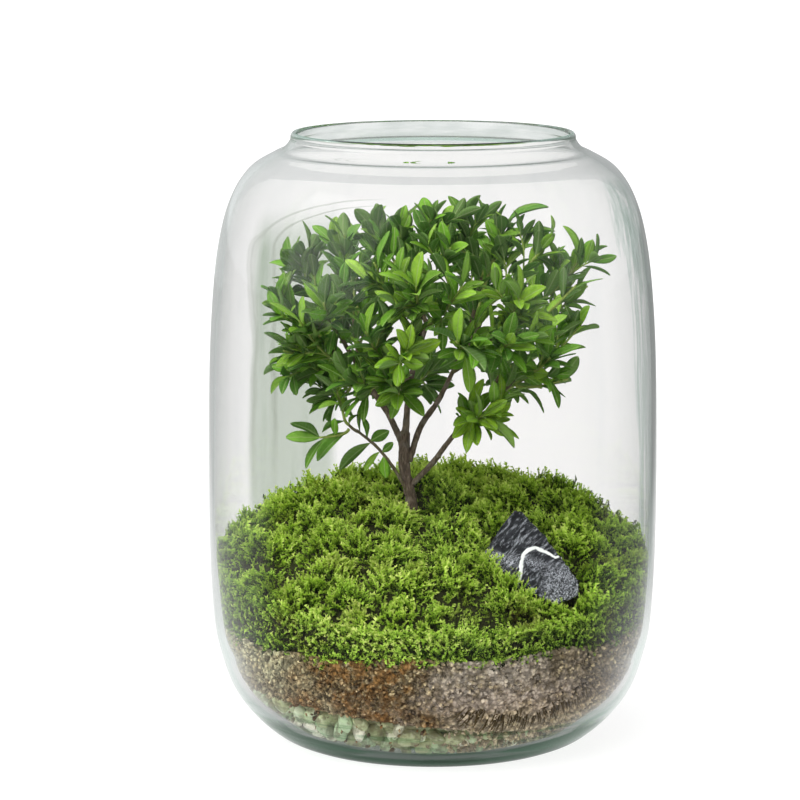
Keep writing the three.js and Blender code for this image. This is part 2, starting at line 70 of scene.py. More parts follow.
class Value:
    """One output of a material's nodes. Arithmetic on a number adds Math nodes."""

    def __init__(self, finish, socket):
        self.finish = finish
        self.socket = socket

    def math(self, operation, *others, swap=False):
        operands = [*others, self] if swap else [self, *others]
        return self.finish.node("Math", {"operation": operation}, dict(enumerate(operands)))

    __add__ = __radd__ = arithmetic("ADD")
    __mul__ = __rmul__ = arithmetic("MULTIPLY")
    __sub__ = arithmetic("SUBTRACT")
    __rsub__ = arithmetic("SUBTRACT", swap=True)
    __truediv__ = arithmetic("DIVIDE")
    __abs__ = arithmetic("ABSOLUTE")

    def step(self, low, high):
        """Rises smoothly from 0 to 1 as the value goes from low to high. It falls if high is smaller."""
        low, high, start, end = (low, high, 0, 1) if low < high else (high, low, 1, 0)
        ends = {"From Min": low, "From Max": high, "To Min": start, "To Max": end}
        return self.finish.node("MapRange", {"interpolation_type": "SMOOTHSTEP"}, {"Value": self, **ends})


class Finish:
    """The node tree of one material, or of the sky, built up node by node."""

    def __init__(self, name, kind=bpy.data.materials):
        self.material = kind.new(name)
        self.material.use_nodes = True
        self.tree = self.material.node_tree
        self.tree.nodes.clear()

    def node(self, kind, settings=None, sockets=None, output=0):
        """A node of a kind: its settings first, then the values or links of its sockets."""
        made = self.tree.nodes.new("ShaderNode" + kind)
        for name, value in (settings or {}).items():
            if name == "stops":
                self.set_stops(made.color_ramp, value)
            else:
                setattr(made, name, value)
        for key, value in (sockets or {}).items():
            socket = self.find(made.inputs, key)
            if isinstance(value, Value):
                self.tree.links.new(value.socket, socket)
            else:
                socket.default_value = value
        return Value(self, self.find(made.outputs, output))

    @staticmethod
    def find(sockets, key):
        """An enabled socket by its number or name, or nothing where a node has none, as an output node."""
        usable = [socket for socket in sockets if socket.enabled]
        if isinstance(key, int):
            return usable[key] if usable else None
        return next(socket for socket in usable if socket.name == key)

    @staticmethod
    def set_stops(ramp, stops):
        while len(ramp.elements) < len(stops):
            ramp.elements.new(0.5)
        for element, (position, colour) in zip(ramp.elements, stops):
            element.position = position
            element.color = (*colour, 1)

    def place(self, stretch=(1, 1, 1)):
        """The place on the object, in metres, drawn out along each axis by the stretch."""
        spot = self.node("TexCoord", output="Object")
        return self.node("VectorMath", {"operation": "MULTIPLY"}, {0: spot, 1: stretch})

    def axis(self, name, output="Object"):
        """The place along one axis, in metres, or the way into the sky from -1 to 1."""
        return self.node("SeparateXYZ", None, {0: self.node("TexCoord", output=output)}, name)

    def away_from(self, spot):
        return self.node("VectorMath", {"operation": "DISTANCE"}, {0: self.place(), 1: spot}, "Value")

    def grain(self, size, detail=3, roughness=0.55, stretch=(1, 1, 1)):
        """Clouds from 0 to 1 in lumps of a size in millimetres."""
        sockets = {"Vector": self.place(stretch), "Scale": 1 / (size * MM), "Detail": detail}
        return self.node("TexNoise", None, {**sockets, "Roughness": roughness})

    def mark(self, name):
        """A number that the mesh carries at each point."""
        return self.node("Attribute", {"attribute_name": name}, output="Fac")

    def ramp(self, value, *stops):
        return self.node("ValToRGB", {"stops": stops}, {"Fac": value})

    def blend(self, base, *coats):
        """A colour with others laid over it in turn, each as far as its mask says."""
        for mask, over in coats:
            colours = {"A": base, "B": over}
            colours = {key: c if isinstance(c, Value) else (*c, 1) for key, c in colours.items()}
            base = self.node("Mix", {"data_type": "RGBA"}, {"Factor": mask, **colours}, "Result")
        return base

    def skin(self, colour, roughness, relief, depth, specular=0.5, **more):
        """The main shader, with a relief of a depth in millimetres. An underscore stands for a space."""
        normal = self.node("Bump", None, {"Height": relief, "Distance": depth * MM})
        sockets = {"Base Color": colour, "Roughness": roughness, "Normal": normal}
        more = {name.replace("_", " "): value for name, value in more.items()}
        return self.node("BsdfPrincipled", None, {**sockets, "Specular IOR Level": specular, **more})

    def mix(self, share, first, second):
        return self.node("MixShader", None, {0: share, 1: first, 2: second})

    def is_mirrored(self):
        """1 for what the glass or a leaf's gloss mirrors, and 0 for all else."""
        reflections = self.node("LightPath", output="Glossy Depth").math("MINIMUM", 1)
        return reflections * (1 - self.node("LightPath", output="Is Diffuse Ray"))

    def is_inside(self):
        """1 for what is mirrored inside the jar, as in a leaf's gloss, 0 for what its front mirrors."""
        return self.node("LightPath", output="Transmission Depth").step(2.2, 2.8)

    def out(self, surface, volume=None, output="OutputMaterial"):
        shaders = {"Surface": surface}
        if volume:
            shaders["Volume"] = volume
        self.node(output, None, shaders)
        return self.material

    def leaf_out(self, share, skin, colour):
        """The finish of a thin leaf, which lets a share of the light through in a colour of its own."""
        glow = self.node("BsdfTranslucent", None, {"Color": (*colour, 1)})
        return self.out(self.mix(share, skin, glow))


FLOOR_RADIUS = 30
FLOOR_SECTORS = 96
FLOOR_WHITE = 0.18
FLOOR_GLOW = 0.86
PAPER_FRONT = (0.03, -0.12)  # where the floor fades to the dark of the studio, as the glass mirrors it
PAPER_SIDE = (0.15, 0.45)  # how far out it fades at the sides, in metres
PAPER_LOST = {"front": 0.93, "right": 0.66, "left": 0.4}  # the share that is lost there
SKY_COLOUR = (0.98, 0.99, 1, 1)
SKY_STRENGTH = 0.72
SKY_SEEN = 1.02  # the same where it is seen straight
SKY_MIRRORED = 0.5  # how bright the sky looks in the glass and the leaves: the studio's walls are dark
SKY_LEFT = 0.38  # how much brighter it looks at the left, where the window is
SKY_SIDE = (0.05, -0.4)
SKY_FRONT = (-0.55, -0.9)  # the studio is dark towards the front
SKY_LOST = 0.85  # the share of the sky's light that is lost there
MIRRORED_LESS = 0.3  # the share that is lost inside the jar, where leaves stand in each other's way
SUN_FROM = Vector((-0.6, -0.6, 1.5))
SUN_STRENGTH = 4.0
SUN_WIDTH = math.radians(60)
SOFTBOXES = {  # place, width and height in metres, and power in watts
    "left": (Vector((-1.95, -1.2, 1.45)), 2.5, 2.4, 21),
    "right": (Vector((3.1, -0.9, 1.5)), 0.5, 2.2, 2.5),
}
SOFTBOX_AIM = Vector((0, 0, 0.15))


def into_scene(name, data, place=(0, 0, 0)):
    made = bpy.data.objects.new(name, data)
    made.location = place
    bpy.context.scene.collection.objects.link(made)
    return made


paper = Finish("white_paper")
paper_white = paper.skin((FLOOR_WHITE,) * 3 + (1,), 0.9, paper.grain(3), 0.05)
paper_glow = paper.node("Emission", None, {"Color": (1, 1, 1, 1), "Strength": FLOOR_GLOW})
paper_seen = paper.node("AddShader", None, {0: paper_white, 1: paper_glow})
paper_right = paper.axis("X").step(*PAPER_SIDE) * PAPER_LOST["right"]
paper_left = (paper.axis("X") * -1).step(*PAPER_SIDE) * PAPER_LOST["left"]
paper_front = paper.axis("Y").step(*PAPER_FRONT) * PAPER_LOST["front"]
paper_open = (1 - paper_front) * (1 - (paper_right + paper_left))
paper_dimmed = paper_open * (1 - paper.is_inside() * MIRRORED_LESS)
paper_mirrored = paper.node("Emission", None, {"Color": paper_dimmed, "Strength": 1})
paper_lit = paper.out(paper.mix(paper.is_mirrored(), paper_seen, paper_mirrored))

floor_mesh = bpy.data.meshes.new("floor")
floor_corners = [
    (FLOOR_RADIUS * math.cos(turn), FLOOR_RADIUS * math.sin(turn), 0)
    for turn in np.linspace(0, 2 * math.pi, FLOOR_SECTORS, endpoint=False)
]
floor_mesh.from_pydata(floor_corners, [], [range(FLOOR_SECTORS)])
floor_mesh.materials.append(paper_lit)
into_scene("floor", floor_mesh)

sky = Finish("sky", bpy.data.worlds)
sky_seen = SKY_SEEN + sky.node("LightPath", output="Is Diffuse Ray") * (SKY_STRENGTH - SKY_SEEN)
sky_sides = SKY_MIRRORED + sky.axis("X", "Generated").step(*SKY_SIDE) * SKY_LEFT
sky_open = sky_sides * (1 - sky.axis("Y", "Generated").step(*SKY_FRONT) * SKY_LOST)
sky_mirrored = sky_open * (1 - sky.is_inside() * MIRRORED_LESS)
sky_strength = sky_seen + sky.is_mirrored() * (sky_mirrored - SKY_SEEN)
sky_light = sky.node("Background", None, {"Color": SKY_COLOUR, "Strength": sky_strength})
bpy.context.scene.world = sky.out(sky_light, output="OutputWorld")
bpy.context.scene.view_settings.view_transform = "Standard"

sun_data = bpy.data.lights.new("sun", "SUN")
sun_data.energy = SUN_STRENGTH
sun_data.angle = SUN_WIDTH
sun = into_scene("sun", sun_data)
sun.rotation_euler = SUN_FROM.to_track_quat("Z", "Y").to_euler()
sun.visible_glossy = False
sun.visible_transmission = False

for name, (spot, width, height, power) in SOFTBOXES.items():
    box_data = bpy.data.lights.new("softbox_" + name, "AREA")
    box_data.shape = "RECTANGLE"
    box_data.size = width
    box_data.size_y = height
    box_data.energy = power
    softbox = into_scene("softbox_" + name, box_data, spot)
    softbox.rotation_euler = (spot - SOFTBOX_AIM).to_track_quat("Z", "Y").to_euler()
    softbox.visible_camera = False


# ---- the glass jar ----
# One piece of blown soda-lime glass, thickest at the foot, with a shallow punt and a rolled lip. Its
# faint green shows only along the edges, and the blown wall is never quite true.
OUTSIDE = [
    (70, 0), (78.5, 4), (89.5, 13.5), (98.8, 26), (104.8, 42), (108.6, 62), (110.5, 110), (110, 180),
    (107.5, 225), (103.5, 253), (97.5, 271), (89, 283), (78.5, 289.6), (72.5, 292.6), (69.5, 296.5),
]  # radius and height of the outline, in millimetres
LIP = [(69.5, 296.5), (69.4, 298.3), (68.8, 299.5), (67.8, 300), (66.8, 299.4), (66.4, 298), (66.5, 296.6)]
PUNT = [(0, 2), (24, 1.9), (40, 1.7), (47, 1.4), (51, 0.7), (54, 0.1), (58, 0)]
WALL = 3
BASE_THICKNESS = 7
CORNER_SPAN = 0.4  # the share of the outline where the wall thins from the base up
JAR_STEPS = 90
JAR_SECTORS = 192
WALL_WAVES = (0.16, -0.12)  # how far the outer and the inner skin run in and out, in millimetres
GLASS_FOOT = (0.009, 0.005)  # the heights in metres between which each look of the glass comes in
GLASS_CORNER = (0.055, 0.03)
GLASS_SHOULDER = (0.285, 0.27)
GLASS_NECK = (0.285, 0.291)
GLASS_BAND = ((2.04, 2.12), (2.66, 2.58))  # the turns where the dim band of painted dark reflection at the back left starts and ends
TRAPPED = 2.5  # light mirrored more often than this is trapped in the wall
GLASS_TINT = (0.55, 0.74, 0.66, 1)
GLASS_DEPTH = 45  # absorption per metre
GLASS_SHEEN = (0.4, 0.4, 0.4, 1)  # the wall mirrors less than a clean one where it is seen straight on
ARCH_MIDDLE = -0.027  # the faint arched line of painted reflection in the back wall, in metres: where it is highest
ARCH_SPAN = 0.055
ARCH_FOOT = 0.235
ARCH_RISE = 0.021


def smooth_outline(knots, shares):
    """The places at shares of a uniform smooth curve through knots."""
    knots = np.array(knots, float)
    along = np.asarray(shares) * (len(knots) - 1)
    start = np.clip(along.astype(int), 0, len(knots) - 2)
    t = (along - start)[:, None]
    a, b, c, d = (knots[np.clip(start + k, 0, len(knots) - 1)] for k in (-1, 0, 1, 2))
    ends = (2 * t**3 - 3 * t**2 + 1) * b + (3 * t**2 - 2 * t**3) * c
    return ends + (t**3 - 2 * t**2 + t) * (c - a) / 2 + (t**3 - t**2) * (d - b) / 2


def noise(points, size, seed):
    """Seeded smooth noise from -1 to 1 over points, in lumps of a size."""
    lattice = np.random.default_rng(seed).uniform(-1, 1, (32, 32, 32))
    spot = np.asarray(points) / size + 7.3
    cell = np.floor(spot).astype(int)
    share = spot - cell
    share = share * share * (3 - 2 * share)
    total = 0
    for corner in np.ndindex(2, 2, 2):
        weight = np.prod(np.where(corner, share, 1 - share), axis=-1)
        total = total + weight * lattice[tuple(((cell + corner) % 32)[..., i] for i in range(3))]
    return total


def level_noise(x, y, size, seed):
    """The same noise over places on the level."""
    return noise(np.column_stack([x, y, 0 * x]), size, seed)


def unit(vector):
    return vector / np.linalg.norm(vector, axis=-1, keepdims=True)


def headings(turn):
    """The level ways at turns round the jar's axis."""
    return np.stack([np.cos(turn), np.sin(turn)], axis=-1)


class Gathered:
    """A mesh gathered part by part, in millimetres, then put into the scene as one piece."""

    def __init__(self):
        self.points = []
        self.faces = []
        self.finishes = []
        self.marks = []
        self.count = 0

    def add(self, points, *faces, finish=0, **marks):
        """Adds points and faces of three or four corners. A mark is one number for all, or one each."""
        points = np.asarray(points, float).reshape(-1, 3)
        for some, number in zip(faces, np.broadcast_to(finish, len(faces))):
            some = np.asarray(some).reshape(-1, np.shape(some)[-1])
            self.faces.append(some + self.count)
            self.finishes.append(np.full(len(some), number))
        self.points.append(points)
        self.marks.append({name: np.broadcast_to(value, len(points)) for name, value in marks.items()})
        self.count += len(points)

    def piece(self, name, finishes, slot, *nodes, smooth=True):
        """Makes the piece, which rides with the jar and stands for the CAD nodes."""
        sizes = np.concatenate([np.full(len(some), some.shape[1]) for some in self.faces])
        mesh = bpy.data.meshes.new(name)
        mesh.vertices.add(self.count)
        mesh.vertices.foreach_set("co", (np.concatenate(self.points) * MM).ravel())
        mesh.loops.add(int(sizes.sum()))
        mesh.loops.foreach_set("vertex_index", np.concatenate([some.ravel() for some in self.faces]))
        mesh.polygons.add(len(sizes))
        mesh.polygons.foreach_set("loop_start", np.cumsum(sizes) - sizes)
        mesh.polygons.foreach_set("material_index", np.concatenate(self.finishes))
        mesh.polygons.foreach_set("use_smooth", np.full(len(sizes), smooth))
        for mark in self.marks[0]:
            layer = mesh.attributes.new(mark, "FLOAT", "POINT")
            layer.data.foreach_set("value", np.concatenate([some[mark] for some in self.marks]))
        for finish in finishes:
            mesh.materials.append(finish)
        mesh.update(calc_edges=True)
        mesh.validate()
        made = into_scene(name, mesh)
        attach(made, "root")
        if nodes:
            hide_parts(*nodes)
        return made


def revolved(rings, low, high):
    """A closed skin through rings of points, with an end point on the axis at each end."""
    rows, sectors = rings.shape[:2]
    points = np.concatenate([rings.reshape(-1, 3), [low, high]])
    ring = np.arange(sectors)
    after = (ring + 1) % sectors
    row = np.arange(rows - 1)[:, None] * sectors
    quads = np.stack([row + ring, row + after, row + sectors + after, row + sectors + ring], axis=-1)
    last = (rows - 1) * sectors
    first_fan = np.stack([np.full(sectors, rows * sectors), after, ring], axis=-1)
    last_fan = np.stack([last + ring, last + after, np.full(sectors, rows * sectors + 1)], axis=-1)
    return points, quads.reshape(-1, 4), np.concatenate([first_fan, last_fan])


def turned(outline, sectors):
    """Rings of points from an outline of radius and height."""
    turn = np.linspace(0, 2 * np.pi, sectors, endpoint=False)
    radius, height = outline[:, :1], outline[:, 1:]
    return np.stack([radius * np.cos(turn), radius * np.sin(turn), height + 0 * turn], axis=-1)


jar_shares = np.linspace(0, 1, JAR_STEPS + 1)
outside = smooth_outline(OUTSIDE, jar_shares)
run = unit(smooth_outline(OUTSIDE, jar_shares + 1e-4) - smooth_outline(OUTSIDE, jar_shares - 1e-4))
thickness = BASE_THICKNESS + (WALL - BASE_THICKNESS) * np.sqrt(np.minimum(jar_shares / CORNER_SPAN, 1))
inside = outside + thickness[:, None] * np.stack([-run[:, 1], run[:, 0]], axis=-1)
inside = inside[inside[:, 1] > BASE_THICKNESS + 0.5]
floor_edge = inside[0] - (7, inside[0][1] - BASE_THICKNESS)
bend_knots = [floor_edge - (6, 0), floor_edge, inside[0], inside[1]]
inner = np.concatenate([smooth_outline(bend_knots, np.linspace(0.33, 0.62, 5)), inside])


def inside_radius(height):
    """The radius of the glass's inside at a height."""
    return np.interp(height, inner[:, 1], inner[:, 0])


def wobble(rings, depth, seed):
    """Long shallow waves down the wall, which leave the foot and the lip true."""
    height = rings[..., 2]
    free = np.clip((height - 20) / 30, 0, 1) * np.clip((285 - height) / 20, 0, 1)
    swell = noise(rings * (1, 1, 0.3), 26, seed) + 0.5 * noise(rings * (1, 1, 0.5), 12, seed + 1)
    share = 1 - depth * (1 + swell / 1.5) * free / 110
    return rings * np.stack([share, share, np.ones_like(share)], axis=-1)


lip = smooth_outline(LIP, np.linspace(0.08, 0.98, 16))
floor_flat = np.array([(20, BASE_THICKNESS), (45, BASE_THICKNESS)])
outer_skin = turned(np.concatenate([PUNT[1:], outside[1:], lip]), JAR_SECTORS)
inner_skin = turned(np.concatenate([inner[::-1], floor_flat[::-1]]), JAR_SECTORS)
jar_skins = [wobble(outer_skin, WALL_WAVES[0], 3), wobble(inner_skin, WALL_WAVES[1], 8)]
jar = Gathered()
jar.add(*revolved(np.concatenate(jar_skins), (0, 0, PUNT[0][1]), (0, 0, BASE_THICKNESS)))

# Light goes straight through the glass to what stands in it, and the eye sees it bend. Light that has
# been thrown to and fro inside the wall comes out straight too, and dark green at the foot and the lip.
glass = Finish("green_tinted_glass")
glass_x, glass_y, glass_z = (glass.axis(name) for name in "XYZ")
glass_turn = glass_y.math("ARCTAN2", glass_x)
glass_streaks = glass.grain(16, stretch=(1, 1, 0.12)).step(0.5, 0.72)
# The right-hand edge, up to the shoulder, is painted darker in streaks: a painted dark reflection.
glass_reach = 0.33 + glass_z.step(0.21, 0.25) * 0.13
glass_side = (abs(glass_turn) - glass_reach).step(0.01, -0.05)
right_edge_painted_reflection = glass_side * glass_z.step(*GLASS_SHOULDER) * glass_z.step(0.06, 0.1)
glass_lines = glass.grain(6, roughness=0.5, stretch=(1, 1, 0.06)).step(0.44, 0.52)
# A dim grey-green band in the back wall at the left: a painted dark reflection.
back_band_painted_reflection = glass_turn.step(*GLASS_BAND[0]) * glass_turn.step(*GLASS_BAND[1]) * glass_z.step(0.262, 0.232)
# Two faint arched lines in the back wall at the left: painted reflection.
arch_up = ((glass_z - ARCH_FOOT) / ARCH_RISE).math("MAXIMUM", 0)
arch_out = (glass_x + (glass.grain(30) - 0.5) * 0.006 - ARCH_MIDDLE) / ARCH_SPAN
arch_reach = (arch_up * arch_up + arch_out * arch_out).math("SQRT")
arch_painted_reflection = abs(arch_reach - 1).step(0.022, 0.008) + abs(arch_reach - 1.2).step(0.03, 0.01) * 0.8
arch_shown = glass_y.step(0, 0.02) * glass_x.step(-0.02, -0.05) * glass_z.step(0.09, 0.16)
# The back half of the neck is painted darker in patches: painted shade.
neck_painted_shade = glass_z.step(*GLASS_NECK) * glass_y.step(-0.01, 0.02)
neck_shade_patches = glass.grain(14, stretch=(0.4, 0.4, 3)).step(0.4, 0.62)
glass_corner = glass_z.step(0.008, 0.014) * glass_z.step(*GLASS_CORNER)
glass_swirls = glass.grain(6, detail=5, stretch=(0.14, 0.14, 1.8)).step(0.5, 0.6)
glass_colour = glass.blend(
    (0.95, 0.922, 0.927),
    (glass_streaks * 0.5, (0.895, 0.877, 0.887)),
    (right_edge_painted_reflection * glass_lines, (0.62, 0.68, 0.65)),
    (back_band_painted_reflection * (0.7 + glass_streaks * 0.3), (0.44, 0.5, 0.41)),
    (arch_painted_reflection * arch_shown * 0.6, (0.4, 0.42, 0.36)),
    (neck_painted_shade * (0.6 + neck_shade_patches * 0.4), (0.62, 0.64, 0.63)),
    (glass_corner, (1.0, 0.89, 0.92)),
    (glass_z.step(0.036, 0.018) * glass_swirls * 0.75, (0.34, 0.48, 0.36)),
    (glass_z.step(*GLASS_FOOT) * (0.7 + glass_swirls * 0.3), (0.1, 0.17, 0.11)),
)
glass_sockets = {"Base Color": glass_colour, "Roughness": 0.0, "Transmission Weight": 1.0}
glass_sockets |= {"IOR": 1.5, "Specular Tint": GLASS_SHEEN}
bending = glass.node("BsdfPrincipled", None, glass_sockets)
straight = glass.node("BsdfTransparent")
darkened = glass.node("BsdfTransparent", None, {"Color": (0.2, 0.32, 0.23, 1)})
is_shadow = glass.node("LightPath", output="Is Shadow Ray")
is_diffuse = glass.node("LightPath", output="Is Diffuse Ray")
is_trapped = glass.node("LightPath", output="Glossy Depth").math("GREATER_THAN", TRAPPED)
glass_ends = glass_z.step(0.014, 0.007) + glass_z.step(0.289, 0.293)
glass_seen = glass.mix(is_trapped * glass_ends, bending, darkened)
to_light = is_shadow.math("MAXIMUM", is_diffuse).math("MAXIMUM", is_trapped * (1 - glass_ends))
glass_skin = glass.mix(to_light, glass_seen, straight)
glass_body = glass.node("VolumeAbsorption", None, {"Color": GLASS_TINT, "Density": GLASS_DEPTH})
jar.piece("jar", [glass.out(glass_skin, glass_body)], "glass", "glass_jar")


# ---- the pebbles ----
# The drainage layer: washed river pebbles, cream to greenish white, poured in on the jar's floor. They
# lie deepest at the left. Only those against the glass show, and a heap of grit fills the middle.
SEAT_GAP = 0.4
PEBBLE_FLOOR = BASE_THICKNESS + SEAT_GAP
PEBBLE_LAYERS = 2
PEBBLE_SPACING = 9
PEBBLE_ROW = 5.6
PEBBLE_ROWS = 5
PEBBLE_BACK_ROW = 5.5  # how far the second layer lies behind the first
PEBBLE_FIRST_ROW = 2.9  # from the floor up to the middles of the lowest pebbles
PEBBLE_SIZES = ((3.6, 2.9, 2.2), (6.8, 4.9, 3.5))
GRIT_INSET = 5
GRIT_SUNK = 1


def pebble_top(x, y):
    return 24 - 0.1 * x - 0.02 * y


def buried(x):
    """How far soil has run down over the pebbles: from 0 at the left to 1 at the right."""
    return np.clip((x - 2) / 20, 0, 1)


def ball(subdivisions):
    """The points and triangles of an even ball of radius 1."""
    made = bmesh.new()
    bmesh.ops.create_icosphere(made, subdivisions=subdivisions, radius=1)
    points = np.array([vertex.co for vertex in made.verts])
    triangles = np.array([[vertex.index for vertex in face.verts] for face in made.faces])
    made.free()
    return points, triangles


def turns(rng, count):
    """Random turning matrices."""
    w, x, y, z = rng.normal(size=(4, count)) + 1e-9
    scale = np.sqrt(w * w + x * x + y * y + z * z)
    w, x, y, z = w / scale, x / scale, y / scale, z / scale
    rows = [
        [1 - 2 * (y * y + z * z), 2 * (x * y - z * w), 2 * (x * z + y * w)],
        [2 * (x * y + z * w), 1 - 2 * (x * x + z * z), 2 * (y * z - x * w)],
        [2 * (x * z - y * w), 2 * (y * z + x * w), 1 - 2 * (x * x + y * y)],
    ]
    return np.moveaxis(np.array(rows), -1, 0)


def scattered(form, triangles, places, sizes, frames):
    """Copies of a form at places, each with its three sizes and its own turning matrix."""
    copies = np.einsum("nij,nkj->nki", frames, form * sizes[:, None, :]) + places[:, None, :]
    numbers = triangles[None] + (np.arange(len(places)) * form.shape[-2])[:, None, None]
    return copies, numbers


def kept_in(points, gap=SEAT_GAP):
    """Points drawn in towards the axis where they would reach the glass."""
    reach = np.hypot(points[..., 0], points[..., 1])
    room = inside_radius(points[..., 2]) - gap
    share = np.minimum(1, room / np.maximum(reach, 1e-6))
    return points * np.stack([share, share, np.ones_like(share)], axis=-1)


def bed_rings(bottom, top, sectors, side_rows, rings, inset=0):
    """The rings of a bed's skin: out along its bottom, up the glass and back in along its top."""
    way = headings(np.linspace(0, 2 * np.pi, sectors, endpoint=False))
    low, high = bottom(*(100 * way).T), top(*(100 * way).T)
    for _ in range(4):
        low = bottom(*((inside_radius(low) - SEAT_GAP)[:, None] * way).T)
        high = top(*((inside_radius(high) - SEAT_GAP)[:, None] * way).T)

    def places(height, share=1):
        return (share * (inside_radius(height) - SEAT_GAP - inset))[:, None] * way

    floor_spots = [places(low, share) for share in np.linspace(0, 1, rings + 1)[1:-1]]
    heights = [low + (high - low) * share for share in np.linspace(0, 1, side_rows + 1)]
    top_spots = [places(high, share) for share in np.linspace(1, 0, rings + 1)[1:-1]]
    rows = [np.column_stack([spots, bottom(*spots.T)]) for spots in floor_spots]
    rows += [np.column_stack([places(height), height]) for height in heights]
    rows += [np.column_stack([spots, top(*spots.T)]) for spots in top_spots]
    return np.array(rows)


pebble_rng = np.random.default_rng(41)
pebble_places = []
for layer in range(PEBBLE_LAYERS):
    for row in range(PEBBLE_ROWS):
        height = PEBBLE_FLOOR + PEBBLE_FIRST_ROW + PEBBLE_ROW * row
        reach = inside_radius(height - 1.6) - SEAT_GAP - 2.6 - PEBBLE_BACK_ROW * layer
        count = int(2 * np.pi * reach / PEBBLE_SPACING)
        for i in range(count):
            turn = 2 * np.pi * (i + 0.5 * row + pebble_rng.uniform(-0.25, 0.25)) / count
            inward = reach - 2.4 * buried(reach * np.cos(turn))
            spot = np.array([*(inward * headings(turn)), height + pebble_rng.uniform(-1.5, 1.5)])
            if spot[2] + 2.2 < pebble_top(spot[0], spot[1]) + pebble_rng.uniform(-0.5, 2.5):
                pebble_places.append(spot)
pebble_places = np.array(pebble_places)
pebble_count = len(pebble_places)
pebble_form, pebble_triangles = ball(3)
pebble_sizes = pebble_rng.uniform(*PEBBLE_SIZES, (pebble_count, 3))
pebble_lumps = 1 + 0.24 * noise(pebble_form + pebble_rng.uniform(0, 90, (pebble_count, 1, 3)), 0.8, 17)
pebble_form = pebble_form * pebble_lumps[..., None]
pebble_frames = turns(pebble_rng, pebble_count)
pebble_points, pebble_faces = scattered(
    pebble_form, pebble_triangles, pebble_places, pebble_sizes, pebble_frames
)
pebble_points[..., 2] = np.maximum(pebble_points[..., 2], PEBBLE_FLOOR)
pebble_tones = np.repeat(pebble_rng.uniform(0, 1, pebble_count), pebble_form.shape[1])
pebbles = Gathered()
pebbles.add(kept_in(pebble_points), pebble_faces, tone=pebble_tones)
grit_rings = bed_rings(
    lambda x, y: PEBBLE_FLOOR + 0 * x, lambda x, y: pebble_top(x, y) - GRIT_SUNK, 96, 8, 6, GRIT_INSET
)
pebbles.add(*revolved(grit_rings, (0, 0, PEBBLE_FLOOR), (0, 0, pebble_top(0, 0) - GRIT_SUNK)), tone=0.1)

pebble = Finish("washed_pebble")
pebble_stone = pebble.ramp(
    pebble.mark("tone"),
    (0, (0.2, 0.24, 0.1)),
    (0.3, (0.55, 0.6, 0.33)),
    (0.6, (0.48, 0.68, 0.42)),
    (0.85, (0.92, 0.95, 0.7)),
    (1, (0.98, 0.97, 0.8)),
)
pebble_vein = pebble.grain(2.2, detail=6, stretch=(1, 1, 2.4)).step(0.52, 0.66)
pebble_dirt = pebble.grain(5, detail=7, roughness=0.65).step(0.47, 0.58)
pebble_colour = pebble.blend(
    pebble_stone, (pebble_vein * 0.4, (0.72, 0.74, 0.6)), (pebble_dirt * 0.6, (0.12, 0.09, 0.035))
)
pebble_skin = pebble.skin(pebble_colour, 0.6, pebble.grain(0.9, detail=5), 0.18)
pebbles.piece("pebbles", [pebble.out(pebble_skin)], "pebbles", "drainage_pebbles")


# ---- the soil ----
# Dark potting soil of bark crumbs and peat, poured over the pebbles and pressed against the glass. Its
# crumbs of 1 to 3 mm stand out of a fine ground, rusty at the left and lighter and yellower low down at
# the right. Painted light and haze make it paler and greyer at the right and paler at the far left.
SOIL_EDGE_HEIGHT = 58
SOIL_DOME = 24
SOIL_SECTORS = 840
SOIL_ROWS = 46
SOIL_RINGS = 8
SOIL_TONE = 0.35
BED_REACH = 107.5  # how far out the soil and the moss reach at the glass
CRUMBS = 9000
CRUMBS_AMONG_PEBBLES = 0.12
CRUMB_GRAIN = 2.3
SLIVERS = 84
SLIVER_FAN = (-1.45, -0.72)  # the turns between which the slivers lie
SLIVER_DEPTH = 0.62
SLIVER_SIZES = ((2.5, 0.3, 0.22), (7.5, 0.62, 0.34))
SLIVER_TONE = -0.5


def waves(x, y, size, shift):
    u = x / size + shift
    v = y / size - 1.7 * shift
    return (np.sin(1.9 * u + 1.3 * np.sin(1.1 * v)) + np.sin(2.3 * v - 0.9 * np.sin(1.4 * u + 2))) / 2


def soil_top(x, y):
    reach = np.hypot(x, y) / BED_REACH
    return SOIL_EDGE_HEIGHT + SOIL_DOME * (1 - reach**2) + 0.02 * x + 2.2 * waves(x, y, 22, 1.9)


def soil_bottom(x, y):
    return pebble_top(x, y) + SEAT_GAP


soil_rings = bed_rings(soil_bottom, soil_top, SOIL_SECTORS, SOIL_ROWS, SOIL_RINGS)
soil_depth = 1.1 * (1 + noise(soil_rings, 1.7, 5)) + 0.8 * (1 + noise(soil_rings, 5, 6)) - 0.6
soil_row = np.arange(len(soil_rings)) - (SOIL_RINGS - 1)
soil_side = (soil_row >= 0) & (soil_row <= SOIL_ROWS)
soil_rings[..., :2] *= (1 - (np.maximum(soil_depth, 0) * soil_side[:, None]) / 100)[..., None]
soil, crumbs = Gathered(), Gathered()
soil.add(*revolved(soil_rings, (0, 0, soil_bottom(0, 0)), (0, 0, soil_top(0, 0))), tone=SOIL_TONE)

